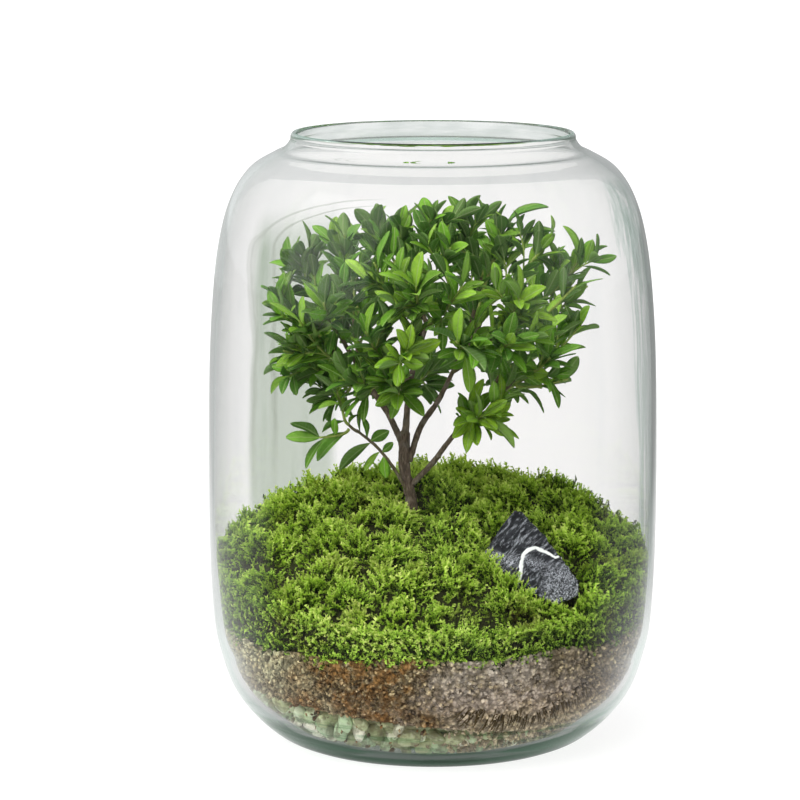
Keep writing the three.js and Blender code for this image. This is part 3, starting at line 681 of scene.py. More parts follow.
crumb_rng = np.random.default_rng(52)
crumb_way = headings(crumb_rng.uniform(0, 2 * np.pi, CRUMBS))
crumb_run = buried(98 * crumb_way[:, 0]) > crumb_rng.uniform(0, 1, CRUMBS)
crumb_run = crumb_run | (crumb_rng.uniform(0, 1, CRUMBS) < CRUMBS_AMONG_PEBBLES)
crumb_low = np.where(crumb_run, PEBBLE_FLOOR + 1.5, soil_bottom(*(98 * crumb_way).T))
crumb_height = crumb_low + crumb_rng.uniform(0, 1, CRUMBS) * (soil_top(*(107 * crumb_way).T) - crumb_low)
crumb_size = crumb_rng.uniform(0.45, 1.6, CRUMBS)
crumb_reach = inside_radius(crumb_height) - SEAT_GAP - crumb_size * crumb_rng.uniform(0.7, 1.2, CRUMBS)
crumb_places = np.column_stack([crumb_reach[:, None] * crumb_way, crumb_height])
crumb_form, crumb_triangles = ball(1)
crumb_sizes = crumb_size[:, None] * crumb_rng.uniform((0.9, 0.6, 0.5), (1.4, 1.0, 0.9), (CRUMBS, 3))
crumb_form = crumb_form * crumb_rng.uniform(0.75, 1.25, (CRUMBS, len(crumb_form), 1))
crumb_frames = turns(crumb_rng, CRUMBS)
crumb_points, crumb_faces = scattered(crumb_form, crumb_triangles, crumb_places, crumb_sizes, crumb_frames)
crumb_tones = np.repeat(crumb_rng.uniform(0, 1, CRUMBS) ** 1.4, crumb_form.shape[1])
crumbs.add(kept_in(crumb_points), crumb_faces, tone=crumb_tones)

# Dark slivers lie against the glass at the right, spread like a fan: they stand in for dark streaks of
# reflection in the curved glass, a painted reflection.
sliver_turn = np.linspace(*SLIVER_FAN, SLIVERS) + crumb_rng.normal(0, 0.012, SLIVERS)
sliver_way = headings(sliver_turn)
sliver_lean = (sliver_turn - np.mean(SLIVER_FAN)) * -2.1 + crumb_rng.normal(0, 0.15, SLIVERS)
sliver_side = np.column_stack([-sliver_way[:, 1], sliver_way[:, 0], np.zeros(SLIVERS)])
sliver_run = np.sin(sliver_lean)[:, None] * sliver_side + np.cos(sliver_lean)[:, None] * (0, 0, 1)
sliver_height = 29 + 50 * (sliver_turn + 1.15) ** 2 + crumb_rng.normal(0, 1.3, SLIVERS)
sliver_reach = inside_radius(sliver_height) - SLIVER_DEPTH
sliver_places = np.column_stack([sliver_reach[:, None] * sliver_way, sliver_height])
sliver_sizes = crumb_rng.uniform(*SLIVER_SIZES, (SLIVERS, 3))
sliver_frames = np.stack([sliver_run, np.cross(sliver_run, sliver_side), sliver_side], axis=-1)
sliver_points, sliver_faces = scattered(*ball(2), sliver_places, sliver_sizes, sliver_frames)
crumbs.add(kept_in(sliver_points), sliver_faces, tone=SLIVER_TONE)

earth = Finish("potting_soil")
earth_tone = earth.mark("tone")
earth_crumb = earth.ramp(
    earth_tone,
    (0, (0.018, 0.011, 0.006)),
    (0.3, (0.13, 0.088, 0.042)),
    (0.65, (0.5, 0.37, 0.17)),
    (1, (0.9, 0.72, 0.42)),
)
earth_mottle = earth.grain(6, detail=5)
earth_x = earth.axis("X") / MM + (earth.grain(22, detail=4) - 0.5) * 90
earth_z = earth.axis("Z") / MM
earth_fine = earth.grain(1.3, detail=6).step(0.42, 0.6)
earth_rust = earth_x.step(-72, -52) * earth_x.step(0, -20) * earth_mottle.step(0.38, 0.6)
earth_fades = 1 - earth_x.step(35, 75) * 0.7
# Painted light and haze: the soil is made paler and greyer at the right and paler at the far left.
earth_painted_haze_right = earth_x.step(-12, 14) * earth_fades * (0.4 + 0.6 * earth_mottle.step(0.62, 0.42))
earth_painted_haze_left = earth_x.step(-45, -70) * (0.4 + 0.6 * earth_mottle.step(0.4, 0.6))
earth_low = earth_z.step(42, 22) * earth_x.step(-10, 20)
earth_gaps = {"Vector": earth.place(), "Scale": 1 / (CRUMB_GRAIN * MM)}
earth_dark = earth.node("TexVoronoi", None, earth_gaps).step(0.2, 0.7)
earth_colour = earth.blend(
    earth_crumb,
    (earth_fine * 0.6, (0.4, 0.31, 0.2)),
    (earth_rust * 0.75, (0.36, 0.17, 0.045)),
    (earth_painted_haze_right * 0.68, (0.88, 0.75, 0.64)),
    (earth_painted_haze_left * 0.7, (0.72, 0.68, 0.44)),
    (earth_low * 0.55, (0.9, 0.76, 0.46)),
    (earth_dark * 0.62, (0.015, 0.01, 0.004)),
    # The dark brown of the slivers that stand in for a reflection.
    (earth_tone.step(-0.1, -0.4), (0.09, 0.062, 0.022)),
)
potting_soil = earth.out(earth.skin(earth_colour, 0.85, earth.grain(0.8, detail=6), 0.5, specular=0.2))
soil.piece("soil", [potting_soil], "soil", "soil_bed", smooth=False)
crumbs.piece("soil_crumbs", [potting_soil], "soil", smooth=False)


# ---- the moss ----
# A carpet of living moss laid over the soil. It grows in cushions a centimetre or two across, each of
# many feathery shoots, yellow-green at their tips and, with painted shade, almost black down between them.
MOSS_EDGE_HEIGHT = 92
MOSS_DOME = 25
MOSS_SLOPE = 0.2
MOSS_LUMP = 3.2
MOSS_REACH = 106  # how far out the shoots root
STONE_HOLLOW = (55, -63, 14, 20)  # its middle, depth and spread
CUSHION = 19  # from one cushion's middle to the next
SHOOT_LAYERS = (  # the spacing, how far its tips stay down, the lengths of its shoots, and how light it is: the lower layer is painted darker as shade
    (2.0, 0, (5.5, 10.5), 1),
    (2.6, 3.4, (4, 6), 0.3),
)
SHOOT_NODES = 9
BACK_HALF = 6  # from here on back the shoots are a piece of their own
RIM_SHOOTS = 12500  # as many places are tried, and more of them are kept where the moss is tall
RIM_KEPT = 0.55  # the smallest share that is kept
SPRIGS = 34
SPRIG_TONE = -0.35
STONE_SKIRT = [(23, -47, 102), (28, -55, 96), (36, -62, 90), (46, -68, 83), (56, -71, 78), (67, -68, 78)]
SKIRT_SHOOTS = 150
MAT_DEPTH = 4.5  # how far the mat lies below the moss's smooth form
BROWN_SPOT = (0.044, -0.086, 0.08)
PAINTED_LIGHT_SPOT = (-0.025, -0.104, 0.064)  # where painted light makes the tips lighter
LEAFLET_TURN = 2.094
NODE_TURN = 1.05
HORIZON_SPRIGS = [  # root and tip of the longest dark ones
    ((-62, 40, 100), (-66, 38, 117)), ((-75, 25, 98), (-79, 24, 108)), ((-71, 30, 99), (-72, 29, 109)),
    ((28, 70, 107), (29, 68, 121)), ((60, 60, 103), (61, 58, 119)), ((68, 55, 102), (69, 53, 118)),
    ((84, 40, 99), (86, 38, 111)), ((96, 18, 93), (98, 17, 108)),
]


def moss_top(x, y):
    reach = np.hypot(x, y) / BED_REACH
    middle_x, middle_y, depth, spread = STONE_HOLLOW
    hollow = np.hypot(x - middle_x, y - middle_y) / spread
    dome = MOSS_EDGE_HEIGHT + MOSS_DOME * (1 - reach**2) + MOSS_SLOPE * y
    return dome - depth * np.exp(-(hollow**2)) + MOSS_LUMP * waves(x, y, 17, 0.4) * (1 - 0.5 * reach)


def jittered(rng, spacing, reach):
    """Places about a spacing apart over a round bed."""
    steps = np.arange(-reach - spacing, reach + spacing, spacing)
    x, y = (axis.ravel() for axis in np.meshgrid(steps, steps))
    x = x + rng.uniform(-0.5, 0.5, x.size) * spacing
    y = y + rng.uniform(-0.5, 0.5, y.size) * spacing
    near = np.hypot(x, y) < reach
    return x[near], y[near]


def shoots(mesh, roots, ways, lengths, widths, tones, bend=0.75):
    """Feathery shoots: a curling axis with leaflets all round it, the longest in the middle."""
    count = len(roots)
    ways = unit(ways)
    side = unit(np.cross(ways, moss_rng.normal(size=(count, 3))))
    over = np.cross(ways, side)
    share = np.linspace(0, 1, SHOOT_NODES)
    curl = lengths * moss_rng.uniform(0.1, bend, count)
    spine = roots[:, None] + share[None, :, None] * (lengths[:, None] * ways)[:, None]
    spine = spine + (share**2)[None, :, None] * curl[:, None, None] * side[:, None]
    tips = []
    for k in range(SHOOT_NODES - 1):
        swell = 0.62 + 0.38 * math.sin(2.4 * (k + 1) / SHOOT_NODES)
        reach = widths * swell * (1 - 0.62 * (k / SHOOT_NODES) ** 2)
        for leaf in range(3):
            turn = LEAFLET_TURN * leaf + NODE_TURN * k + moss_rng.uniform(-0.5, 0.5, count)
            out = np.cos(turn)[:, None] * side + np.sin(turn)[:, None] * over
            rise = (lengths * moss_rng.uniform(0.1, 0.34, count))[:, None] * ways
            tips.append(spine[:, k] + rise + (reach * moss_rng.uniform(0.7, 1.3, count))[:, None] * out)
    tips = np.stack(tips, axis=1)
    points = np.concatenate([spine, tips], axis=1)
    start = (np.arange(count) * points.shape[1])[:, None]
    node = np.repeat(np.arange(SHOOT_NODES - 1), 3)[None]
    number = np.arange(tips.shape[1])[None]
    faces = np.stack([start + node, start + node + 1, start + SHOOT_NODES + number], axis=-1)
    height = np.concatenate([0.8 * share - 0.1, node[0] / SHOOT_NODES + 0.4])
    tones = np.repeat(np.broadcast_to(tones, count), points.shape[1])
    mesh.add(kept_in(points, 0.5), faces, rise=np.tile(height, count), tone=tones)


moss_rng = np.random.default_rng(63)
cushions = np.column_stack(jittered(moss_rng, CUSHION, 114))
cushion_tone = moss_rng.uniform(0, 1, len(cushions))


def in_cushions(x, y):
    """The nearest cushion of each place, the way off its middle, and 0 in a middle to 1 between two."""
    wander = 4 * np.column_stack([level_noise(x, y, 9, seed) for seed in (14, 15)])
    off = np.column_stack([x, y])[:, None] + wander[:, None] - cushions[None]
    distance = np.linalg.norm(off, axis=-1)
    nearest = distance.argmin(axis=1)
    two = np.sort(distance, axis=1)[:, :2]
    return nearest, off[np.arange(len(x)), nearest], 2 * two[:, 0] / two.sum(axis=1)


def cushion_lift(x, y):
    """How far the moss stands over its smooth form."""
    edge = in_cushions(x, y)[2]
    return 4.2 - 10 * edge**3 + 1.8 * level_noise(x, y, 6, 12)


moss_front, moss_back = Gathered(), Gathered()
for spacing, sunk, lengths, shade in SHOOT_LAYERS:
    shoot_x, shoot_y = jittered(moss_rng, spacing, MOSS_REACH)
    nearest, off_middle, edge = in_cushions(shoot_x, shoot_y)
    shoot_length = moss_rng.uniform(*lengths, len(shoot_x)) * (1 - 0.25 * edge**2)
    shoot_tip = moss_top(shoot_x, shoot_y) + cushion_lift(shoot_x, shoot_y) - sunk
    drift = np.column_stack([level_noise(shoot_x, shoot_y, 13, seed) for seed in (16, 17)])
    shoot_way = np.column_stack([off_middle * 0.08 + 1.1 * drift, np.ones(len(shoot_x))])
    shoot_way[:, :2] += moss_rng.normal(0, 0.5, (len(shoot_x), 2)) + (0.0, -0.2)
    shoot_way = unit(shoot_way)
    shoot_root = np.column_stack([shoot_x, shoot_y, shoot_tip]) - 0.85 * shoot_length[:, None] * shoot_way
    # Painted shade: shoots between two cushions, and those of the lower layer, are darker.
    shoot_tone = 0.4 * cushion_tone[nearest] + 0.6 * moss_rng.uniform(0, 1, len(shoot_x)) ** 1.3
    shoot_tone = shade * shoot_tone * (1 - 0.7 * edge**4)
    for carpet, some in ((moss_front, shoot_y < BACK_HALF), (moss_back, shoot_y >= BACK_HALF)):
        width = moss_rng.uniform(0.85, 1.45, some.sum())
        shoots(carpet, shoot_root[some], shoot_way[some], shoot_length[some], width, shoot_tone[some])

# Against the glass the shoots crowd up its inside, all the way down to the soil.
rim_way = headings(moss_rng.uniform(0, 2 * np.pi, RIM_SHOOTS))
rim_tall = moss_top(*(MOSS_REACH * rim_way).T) - soil_top(*(107 * rim_way).T)
rim_way = rim_way[moss_rng.uniform(0, 1, RIM_SHOOTS) < np.maximum(rim_tall / rim_tall.max(), RIM_KEPT)]
rim_count = len(rim_way)
rim_low = soil_top(*(107 * rim_way).T) - 1.5
rim_low = rim_low + 3.5 * level_noise(*(107 * rim_way).T, 14, 19)
rim_high = moss_top(*(MOSS_REACH * rim_way).T) + 2
rim_height = rim_low + (rim_high - rim_low) * moss_rng.uniform(0, 1, rim_count) ** 0.9
rim_length = moss_rng.uniform(4.5, 7.5, rim_count)
rim_reach = inside_radius(rim_height) - moss_rng.uniform(1.2, 5, rim_count)
rim_lean = np.column_stack([0.3 * rim_way, np.full(rim_count, 0.45)])
rim_lean = unit(rim_lean + moss_rng.normal(0, 0.6, (rim_count, 3)))
rim_root = np.column_stack([rim_reach[:, None] * rim_way, rim_height])
rim_root = rim_root - 0.6 * rim_length[:, None] * rim_lean
rim_tone = moss_rng.uniform(0, 1, rim_count) ** 1.3 * np.clip(0.75 + 0.6 * noise(rim_root, 13, 24), 0.1, 1)
rim_tone = rim_tone * np.clip((rim_height - rim_low) / 10, 0.2, 1)
moss_rim, moss_rim_back = Gathered(), Gathered()
for carpet, some in ((moss_rim, rim_root[:, 1] < 0), (moss_rim_back, rim_root[:, 1] >= 0)):
    width = moss_rng.uniform(1.0, 1.6, some.sum())
    shoots(carpet, rim_root[some], rim_lean[some], rim_length[some], width, rim_tone[some])

# A few thin dark sprigs stand up out of the carpet.
sprig_turn = moss_rng.uniform(0, 2 * np.pi, SPRIGS)
sprig_spot = (104 * np.sqrt(moss_rng.uniform(0.25, 1, SPRIGS)))[:, None] * headings(sprig_turn)
sprig_root = np.column_stack([sprig_spot, moss_top(*sprig_spot.T) - 2])
sprig_way = np.column_stack([moss_rng.normal(0, 0.3, (SPRIGS, 2)), np.ones(SPRIGS)])
sprig_length = moss_rng.uniform(6, 10, SPRIGS)
horizon = np.array(HORIZON_SPRIGS, float)
horizon_way = horizon[:, 1] - horizon[:, 0]
sprig_root = np.concatenate([sprig_root, horizon[:, 0]])
sprig_way = np.concatenate([sprig_way, horizon_way])
sprig_length = np.concatenate([sprig_length, np.linalg.norm(horizon_way, axis=1)])
shoots(moss_rim, sprig_root, sprig_way, sprig_length, 0.7, SPRIG_TONE, bend=0.35)

# More of them lean over the stone's foot.
skirt_share = moss_rng.uniform(0, len(STONE_SKIRT) - 1, SKIRT_SHOOTS)
skirt_knots = range(len(STONE_SKIRT))
skirt_root = np.column_stack([np.interp(skirt_share, skirt_knots, axis) for axis in zip(*STONE_SKIRT)])
skirt_root = skirt_root + moss_rng.uniform((-2, -4, -7), (2, 0.5, -3.5), (SKIRT_SHOOTS, 3))
skirt_way = moss_rng.normal((0, -0.1, 1), (0.4, 0.25, 0.1), (SKIRT_SHOOTS, 3))
skirt_length = moss_rng.uniform(6, 9, SKIRT_SHOOTS)
skirt_tone = moss_rng.uniform(0.2, 0.9, SKIRT_SHOOTS)
shoots(moss_rim, skirt_root, skirt_way, skirt_length, 1.1, skirt_tone)

# The mat under the shoots is a felt of old brown stems, painted near black as the shade down between the
# shoots.
mat_bottom, mat_top = soil_top(0, 0) + SEAT_GAP, moss_top(0, 0) - MAT_DEPTH
mat_rings = bed_rings(
    lambda x, y: soil_top(x, y) + SEAT_GAP, lambda x, y: moss_top(x, y) - MAT_DEPTH, 240, 12, 40
)
mat_rings = mat_rings + noise(mat_rings, 3.5, 21)[..., None] * (0, 0, 0.8)
mat_rings = kept_in(mat_rings, 2.2 + 0.9 * noise(mat_rings, 4, 22))
moss_mat = Gathered()
moss_mat.add(*revolved(mat_rings, (0, 0, mat_bottom), (0, 0, mat_top)))

moss = Finish("living_moss")
moss_tone = moss.mark("tone")
# Painted shade: the shoots are darker out at the left and the right.
moss_shade = moss.axis("X").step(0.045, 0.085) * 0.2 + moss.axis("X").step(-0.07, -0.095) * 0.12
# Painted light: the tips are lighter round one spot low down at the front.
moss_painted_light = moss.away_from(PAINTED_LIGHT_SPOT).step(0.055, 0.02) * 0.34
moss_rise = moss.mark("rise") * (1 + moss_painted_light - moss_shade)
# From near black at the roots, partly old stems and partly painted shade, to yellow-green at the tips.
moss_old = moss.ramp(
    moss_rise,
    (0, (0.003, 0.005, 0.001)),
    (0.35, (0.018, 0.038, 0.004)),
    (0.65, (0.16, 0.3, 0.022)),
    (1, (0.5, 0.75, 0.09)),
)
moss_young = moss.ramp(
    moss_rise,
    (0, (0.007, 0.012, 0.001)),
    (0.3, (0.07, 0.125, 0.008)),
    (0.6, (0.44, 0.68, 0.055)),
    (1, (0.95, 1.0, 0.3)),
)
moss_worn = moss.grain(26).step(0.56, 0.68)
moss_bare = moss.away_from(BROWN_SPOT).step(0.015, 0.005) * moss.grain(4).step(0.38, 0.55)
moss_colour = moss.blend(
    moss_old,
    (moss_tone.step(0, 0.6), moss_young),
    (moss_worn * 0.4, (0.15, 0.11, 0.03)),
    (moss_bare * 0.8, (0.1, 0.06, 0.02)),
    (moss_tone.step(-0.1, -0.5), (0.03, 0.022, 0.01)),
)
moss_skin = moss.skin(moss_colour, 0.5, moss.grain(0.5), 0.15, specular=0.25)
moss_clear = moss_rise.step(0.3, 0.9) * moss_tone.step(-0.2, 0.4) * 0.4
moss_leaf = moss.leaf_out(moss_clear, moss_skin, (0.45, 0.65, 0.05))
felt = Finish("moss_felt")
# Near black: painted shade under the shoots, over the brown of old stems.
felt_painted_shade = felt.blend((0.006, 0.007, 0.002), (felt.grain(2, detail=5), (0.03, 0.03, 0.008)))
felt_skin = felt.out(felt.skin(felt_painted_shade, 0.9, felt.grain(0.8, detail=4), 0.6))
moss_mat.piece("moss_mat", [felt_skin], "moss", "moss_carpet")
carpets = {"front": moss_front, "back": moss_back, "rim": moss_rim, "rim_back": moss_rim_back}
for name, carpet in carpets.items():
    carpet.piece("moss_" + name, [moss_leaf], "moss", smooth=False)


# ---- the stone ----
# One broken piece of dark slate, lying back on the moss with its foot sunk in it. A seam of white
# quartz crosses its face, and paler grains run through it.
STONE_CORNERS = [
    (39, -28, 119), (43, -26, 118), (29, -40, 108), (24, -49, 102), (54, -36, 109), (65, -49, 97),
    (71, -57, 88), (71, -62, 82), (59, -69, 79), (46, -66, 85), (33, -60, 93), (26, -54, 96),
    (51, -56, 97), (61, -58, 92), (30, -40, 84), (52, -28, 86), (64, -42, 78), (48, -58, 75),
    (33, -28, 94),
]
QUARTZ_SEAM = [
    (64, -44, 97), (59.6, -48.2, 99.3), (53.8, -46.4, 102.3), (49.5, -46.3, 103.8), (45.5, -48.6, 102.7),
    (43.1, -50.5, 101.2), (42.1, -54.9, 97.6), (41.5, -59.1, 93.6), (40.5, -62.6, 89.4), (40, -60, 84),
]
STONE_RIDGE = [(24, -49, 102), (36, -55, 99), (43, -53, 100), (52, -55, 97)]
LAYER_RUN = (0.557, 0.719, 0.415)  # the slate's layers run up the stone this way
LAYER_SQUARE = (-0.83, 0.483, 0.278)  # and lie square to this
STONE_DETAIL = 7


def to_line(points, line):
    """Each point's distance to a broken line."""
    nearest = np.full(len(points), 1e9)
    line = np.array(line, float)
    for start, end in zip(line, line[1:]):
        run = end - start
        share = np.clip((points - start) @ run / (run @ run), 0, 1)
        nearest = np.minimum(nearest, np.linalg.norm(points - start - share[:, None] * run, axis=1))
    return nearest


hull = bmesh.new()
for corner in STONE_CORNERS:
    hull.verts.new(corner)
bmesh.ops.convex_hull(hull, input=hull.verts)
hull.normal_update()
sides = [(np.array(face.normal), np.array(face.verts[0].co)) for face in hull.faces]
hull.free()
stone_middle = np.mean(STONE_CORNERS, axis=0)
stone_ways, stone_faces = ball(STONE_DETAIL)
stone_reach = np.full(len(stone_ways), 1e9)
for normal, spot in sides:
    normal = normal * np.sign(normal @ (spot - stone_middle))
    slope = stone_ways @ normal
    with np.errstate(divide="ignore"):
        reach = np.where(slope > 1e-6, normal @ (spot - stone_middle) / slope, 1e9)
    stone_reach = np.minimum(stone_reach, reach)
stone_points = stone_middle + stone_ways * stone_reach[:, None]
layer_run, layer_square = np.array(LAYER_RUN), np.array(LAYER_SQUARE)
layer_third = np.cross(layer_run, layer_square)
stone_grain = stone_points @ np.stack([0.14 * layer_run, layer_square, layer_third], axis=1)
layer = np.floor(stone_grain[:, 1] / 1.7 + 0.6 * noise(stone_grain, 3, 34)).astype(int)
layer_depth = np.random.default_rng(37).uniform(0, 1, 400)[layer % 400]
stone_cut = (
    0.75 * layer_depth
    + 0.5 * (1 + noise(stone_grain, 2.2, 31))
    + 0.45 * (1 + noise(stone_points, 6, 32))
    + 0.16 * (1 + noise(stone_points, 0.8, 33))
)
seam_wave = 0.4 * noise(stone_points, 2.4, 35) + 0.2 * noise(stone_points, 0.9, 36)
seam_distance = to_line(stone_points, QUARTZ_SEAM) + seam_wave
stone_points -= stone_ways * (stone_cut * np.clip(seam_distance / 1.6, 0.25, 1))[:, None]
stone_ridge = np.clip(1.4 - to_line(stone_points, STONE_RIDGE) / 3.5, 0, 1)
stone_low = np.clip((stone_points[:, 0] - 50) / 8, 0, 1) * np.clip((98 - stone_points[:, 2]) / 5, 0, 1)
boulder = Gathered()
boulder.add(
    stone_points, stone_faces, seam=seam_distance, speck=np.maximum(stone_ridge, stone_low),
    along=stone_grain[:, 0], square=stone_grain[:, 1], third=stone_grain[:, 2],
)

slate = Finish("dark_slate")
slate_ground = slate.ramp(
    slate.grain(3, detail=5),
    (0.35, (0.006, 0.006, 0.008)),
    (0.65, (0.03, 0.031, 0.037)),
)
slate_fine = slate.grain(0.55, detail=4, roughness=0.7)
slate_way = slate.node("CombineXYZ", None, dict(enumerate(map(slate.mark, ("along", "square", "third")))))
slate_layers = {"Vector": slate_way, "Scale": 0.8, "Detail": 7, "Roughness": 0.72}
slate_streaks = slate.node("TexNoise", None, slate_layers).step(0.5, 0.64) * slate_fine.step(0.3, 0.52)
slate_specks = slate_fine.step(0.52, 0.6) * slate.mark("speck")
slate_colour = slate.blend(
    slate_ground,
    (slate_streaks * 0.85, (0.4, 0.41, 0.45)),
    (slate_specks * 0.9, (0.72, 0.73, 0.8)),
    (slate.mark("seam").step(1.2, 0.85), (0.84, 0.84, 0.82)),
)
slate_skin = slate.skin(slate_colour, 0.55, slate_fine, 0.3, specular=0.3)
boulder.piece("stone", [slate.out(slate_skin)], "stone", "veined_stone")


# ---- the tree's wood ----
# One trunk that forks low into limbs, with a thin shoot near the moss. The bark is grey-brown and
# finely cracked on the trunk and smoother and greener out along the boughs.
TRUNK = [(-9, -5, 66), (-10, -5, 92), (-10.5, -5, 118), (-14, -4.5, 134), (-14, -3, 152)]
TRUNK_RADII = (3.2, 2.6)
LIMBS = {  # the way of each limb, and its radius at both ends
    "left": ([(-14, -4, 144), (-21, -1, 159), (-29, 2, 171), (-38, 0, 186)], (1.7, 1.1)),
    "leader": ([(-14, -3.5, 148), (-12, -6, 166), (-10, -8, 182), (-3, -5, 208)], (1.8, 1.1)),
    "middle": ([(-12, -4.5, 138), (-6, -1, 155), (2, 2, 167), (15, 4, 192)], (1.6, 1.1)),
    "right": ([(-11, -5, 126), (0, -9, 138), (9, -14, 151), (26, -16, 170)], (1.5, 1.1)),
    "shoot": ([(-12, -6, 122), (-20, -10, 137), (-28, -12, 147), (-37, -15, 155)], (0.9, 0.7)),
}
BOUGHS = [  # the limb, the share of it where the bough leaves, the bough's end, and its sprays' ends
    ("left", 0.7, (-52, -12, 198), [(-77, -10, 221), (-72, -20, 195), (-64, -36, 212)]),
    ("left", 0.97, (-50, -2, 213), [(-69, 5, 236), (-43, -15, 251), (-52, -46, 222)]),
    ("left", 0.62, (-48, 14, 179), [(-72, 10, 184), (-62, 40, 187), (-50, 19, 164)]),
    ("left", 0.9, (-40, 27, 206), [(-57, 48, 207), (-42, 50, 233), (-32, 66, 204)]),
    ("leader", 0.5, (-20, -32, 189), [(-12, -59, 201), (-32, -52, 209), (-16, -46, 178), (-43, -38, 184)]),
    ("leader", 0.78, (-6, -31, 214), [(-8, -62, 232), (14, -60, 232), (-28, -44, 241)]),
    ("leader", 0.97, (-10, -4, 231), [(-1, -10, 259), (-29, 14, 254), (8, -42, 248)]),
    ("leader", 0.9, (-13, 30, 216), [(-17, 48, 248), (-5, 71, 214)]),
    ("leader", 0.35, (-18, 22, 174), [(-31, 50, 179), (0, 56, 174)]),
    ("middle", 0.97, (24, 2, 228), [(14, 2, 256), (36, 10, 256), (56, 0, 246)]),
    ("middle", 0.9, (48, 3, 213), [(75, 10, 240), (78, 26, 221), (69, -20, 227)]),
    ("middle", 0.8, (32, -27, 207), [(41, -52, 225), (36, -57, 204), (11, -63, 206)]),
    ("middle", 0.93, (28, 34, 210), [(6, 58, 240), (31, 54, 240), (56, 50, 222), (22, 69, 205)]),
    ("right", 0.97, (42, -13, 182), [(56, -36, 194), (66, -12, 180), (73, 2, 205)]),
    ("right", 0.85, (34, 13, 179), [(64, 42, 195), (37, 49, 179)]),
    ("right", 0.6, (18, -24, 162), [(24, -38, 166)]),
    ("shoot", 0.97, (-41, -17, 158), [(-47, -19, 176), (-55, -24, 153)]),
]
BOUGH_RADII = (1.15, 0.85)
SHOOT_BOUGH_RADII = (0.8, 0.7)


class Way:
    """A smooth way through a few points, read at shares of its length."""

    def __init__(self, knots):
        knots = np.array(knots, float)
        knots = np.vstack([2 * knots[0] - knots[1], knots, 2 * knots[-1] - knots[-2]])
        t = np.linspace(0, 1, 25)[:, None]
        spans = [knots[1:2]]
        for a, b, c, d in zip(knots, knots[1:], knots[2:], knots[3:]):
            first, second, third = (np.linalg.norm(q - p) ** 0.5 for p, q in ((a, b), (b, c), (c, d)))
            leave = ((b - a) / first - (c - a) / (first + second) + (c - b) / second) * second
            arrive = ((c - b) / second - (d - b) / (second + third) + (d - c) / third) * second
            span = (2 * t**3 - 3 * t**2 + 1) * b + (t**3 - 2 * t**2 + t) * leave
            span = span + (3 * t**2 - 2 * t**3) * c + (t**3 - t**2) * arrive
            spans.append(span[1:])
        self.points = np.vstack(spans)
        steps = np.linalg.norm(np.diff(self.points, axis=0), axis=1)
        self.shares = np.concatenate([[0], np.cumsum(steps)]) / steps.sum()
        self.length = steps.sum()

    def at(self, share):
        return np.stack([np.interp(share, self.shares, axis) for axis in self.points.T], axis=-1)

    def along(self, share):
        before, after = np.maximum(np.add(share, -0.01), 0), np.minimum(np.add(share, 0.01), 1)
        return unit(self.at(after) - self.at(before))


def tube(mesh, way, radii, sides, steps, roughness=0.0, finish=0, seed=1, **marks):
    """A tapering round stem along a way, closed and rounded at both ends."""
    shares = np.linspace(0, 1, steps + 1)
    centres, runs = way.at(shares), way.along(shares)
    across = unit(np.cross(runs[0], (0.3, 0.9, 0.2)))
    turn = np.linspace(0, 2 * np.pi, sides, endpoint=False)
    rings = []
    for centre, run, share in zip(centres, runs, shares):
        across = unit(across - run * (across @ run))
        over = np.cross(run, across)
        radius = radii[0] + (radii[1] - radii[0]) * share
        rings.append(centre + radius * (np.cos(turn)[:, None] * across + np.sin(turn)[:, None] * over))
    rings = np.array(rings)
    if roughness:
        middles = centres[:, None]
        rough = noise(rings, 2.2, seed) + 0.6 * noise(rings * (1, 1, 0.4), 1.1, seed + 1)
        rings = middles + (rings - middles) * (1 + roughness * rough)[..., None]
    root, tip = centres[0] - runs[0] * radii[0] * 0.3, centres[-1] + runs[-1] * radii[1] * 0.8
    mesh.add(*revolved(rings, root, tip), finish=finish, **marks)


def bough_knots(limb, share, end):
    start = limb_ways[limb].at(share)
    end = np.array(end, float)
    sag = (0, 0, -0.07 * np.linalg.norm(end - start))
    return [start, (start + end) / 2 + sag, end]


limb_ways = {name: Way(knots) for name, (knots, _) in LIMBS.items()}
wood = Gathered()
tube(wood, Way(TRUNK), TRUNK_RADII, 28, 110, roughness=0.12, seed=71, green=0.0)
for name, (_, radii) in LIMBS.items():
    green = 0.5 if name == "shoot" else 0.15
    tube(wood, limb_ways[name], radii, 16, 70, roughness=0.1, seed=73, green=green)
for limb, share, end, _ in BOUGHS:
    radii = SHOOT_BOUGH_RADII if limb == "shoot" else BOUGH_RADII
    tube(wood, Way(bough_knots(limb, share, end)), radii, 10, 30, roughness=0.08, seed=75, green=0.6)

bark = Finish("grey_brown_bark")
bark_cracks = bark.grain(1.5, detail=6, roughness=0.65, stretch=(1.6, 1.6, 0.4))
bark_old = bark.ramp(
    bark_cracks,
    (0.3, (0.035, 0.022, 0.015)),
    (0.5, (0.11, 0.075, 0.052)),
    (0.68, (0.24, 0.18, 0.135)),
)
bark_scales = bark.grain(5).step(0.5, 0.66)
bark_colour = bark.blend(
    bark_old, (bark_scales * 0.4, (0.2, 0.19, 0.16)), (bark.mark("green") * 0.6, (0.16, 0.15, 0.05))
)
bark_skin = bark.skin(bark_colour, 0.75, bark_cracks, 0.5)
wood.piece("tree_wood", [bark.out(bark_skin)], "bark", "tree_trunk_and_boughs")


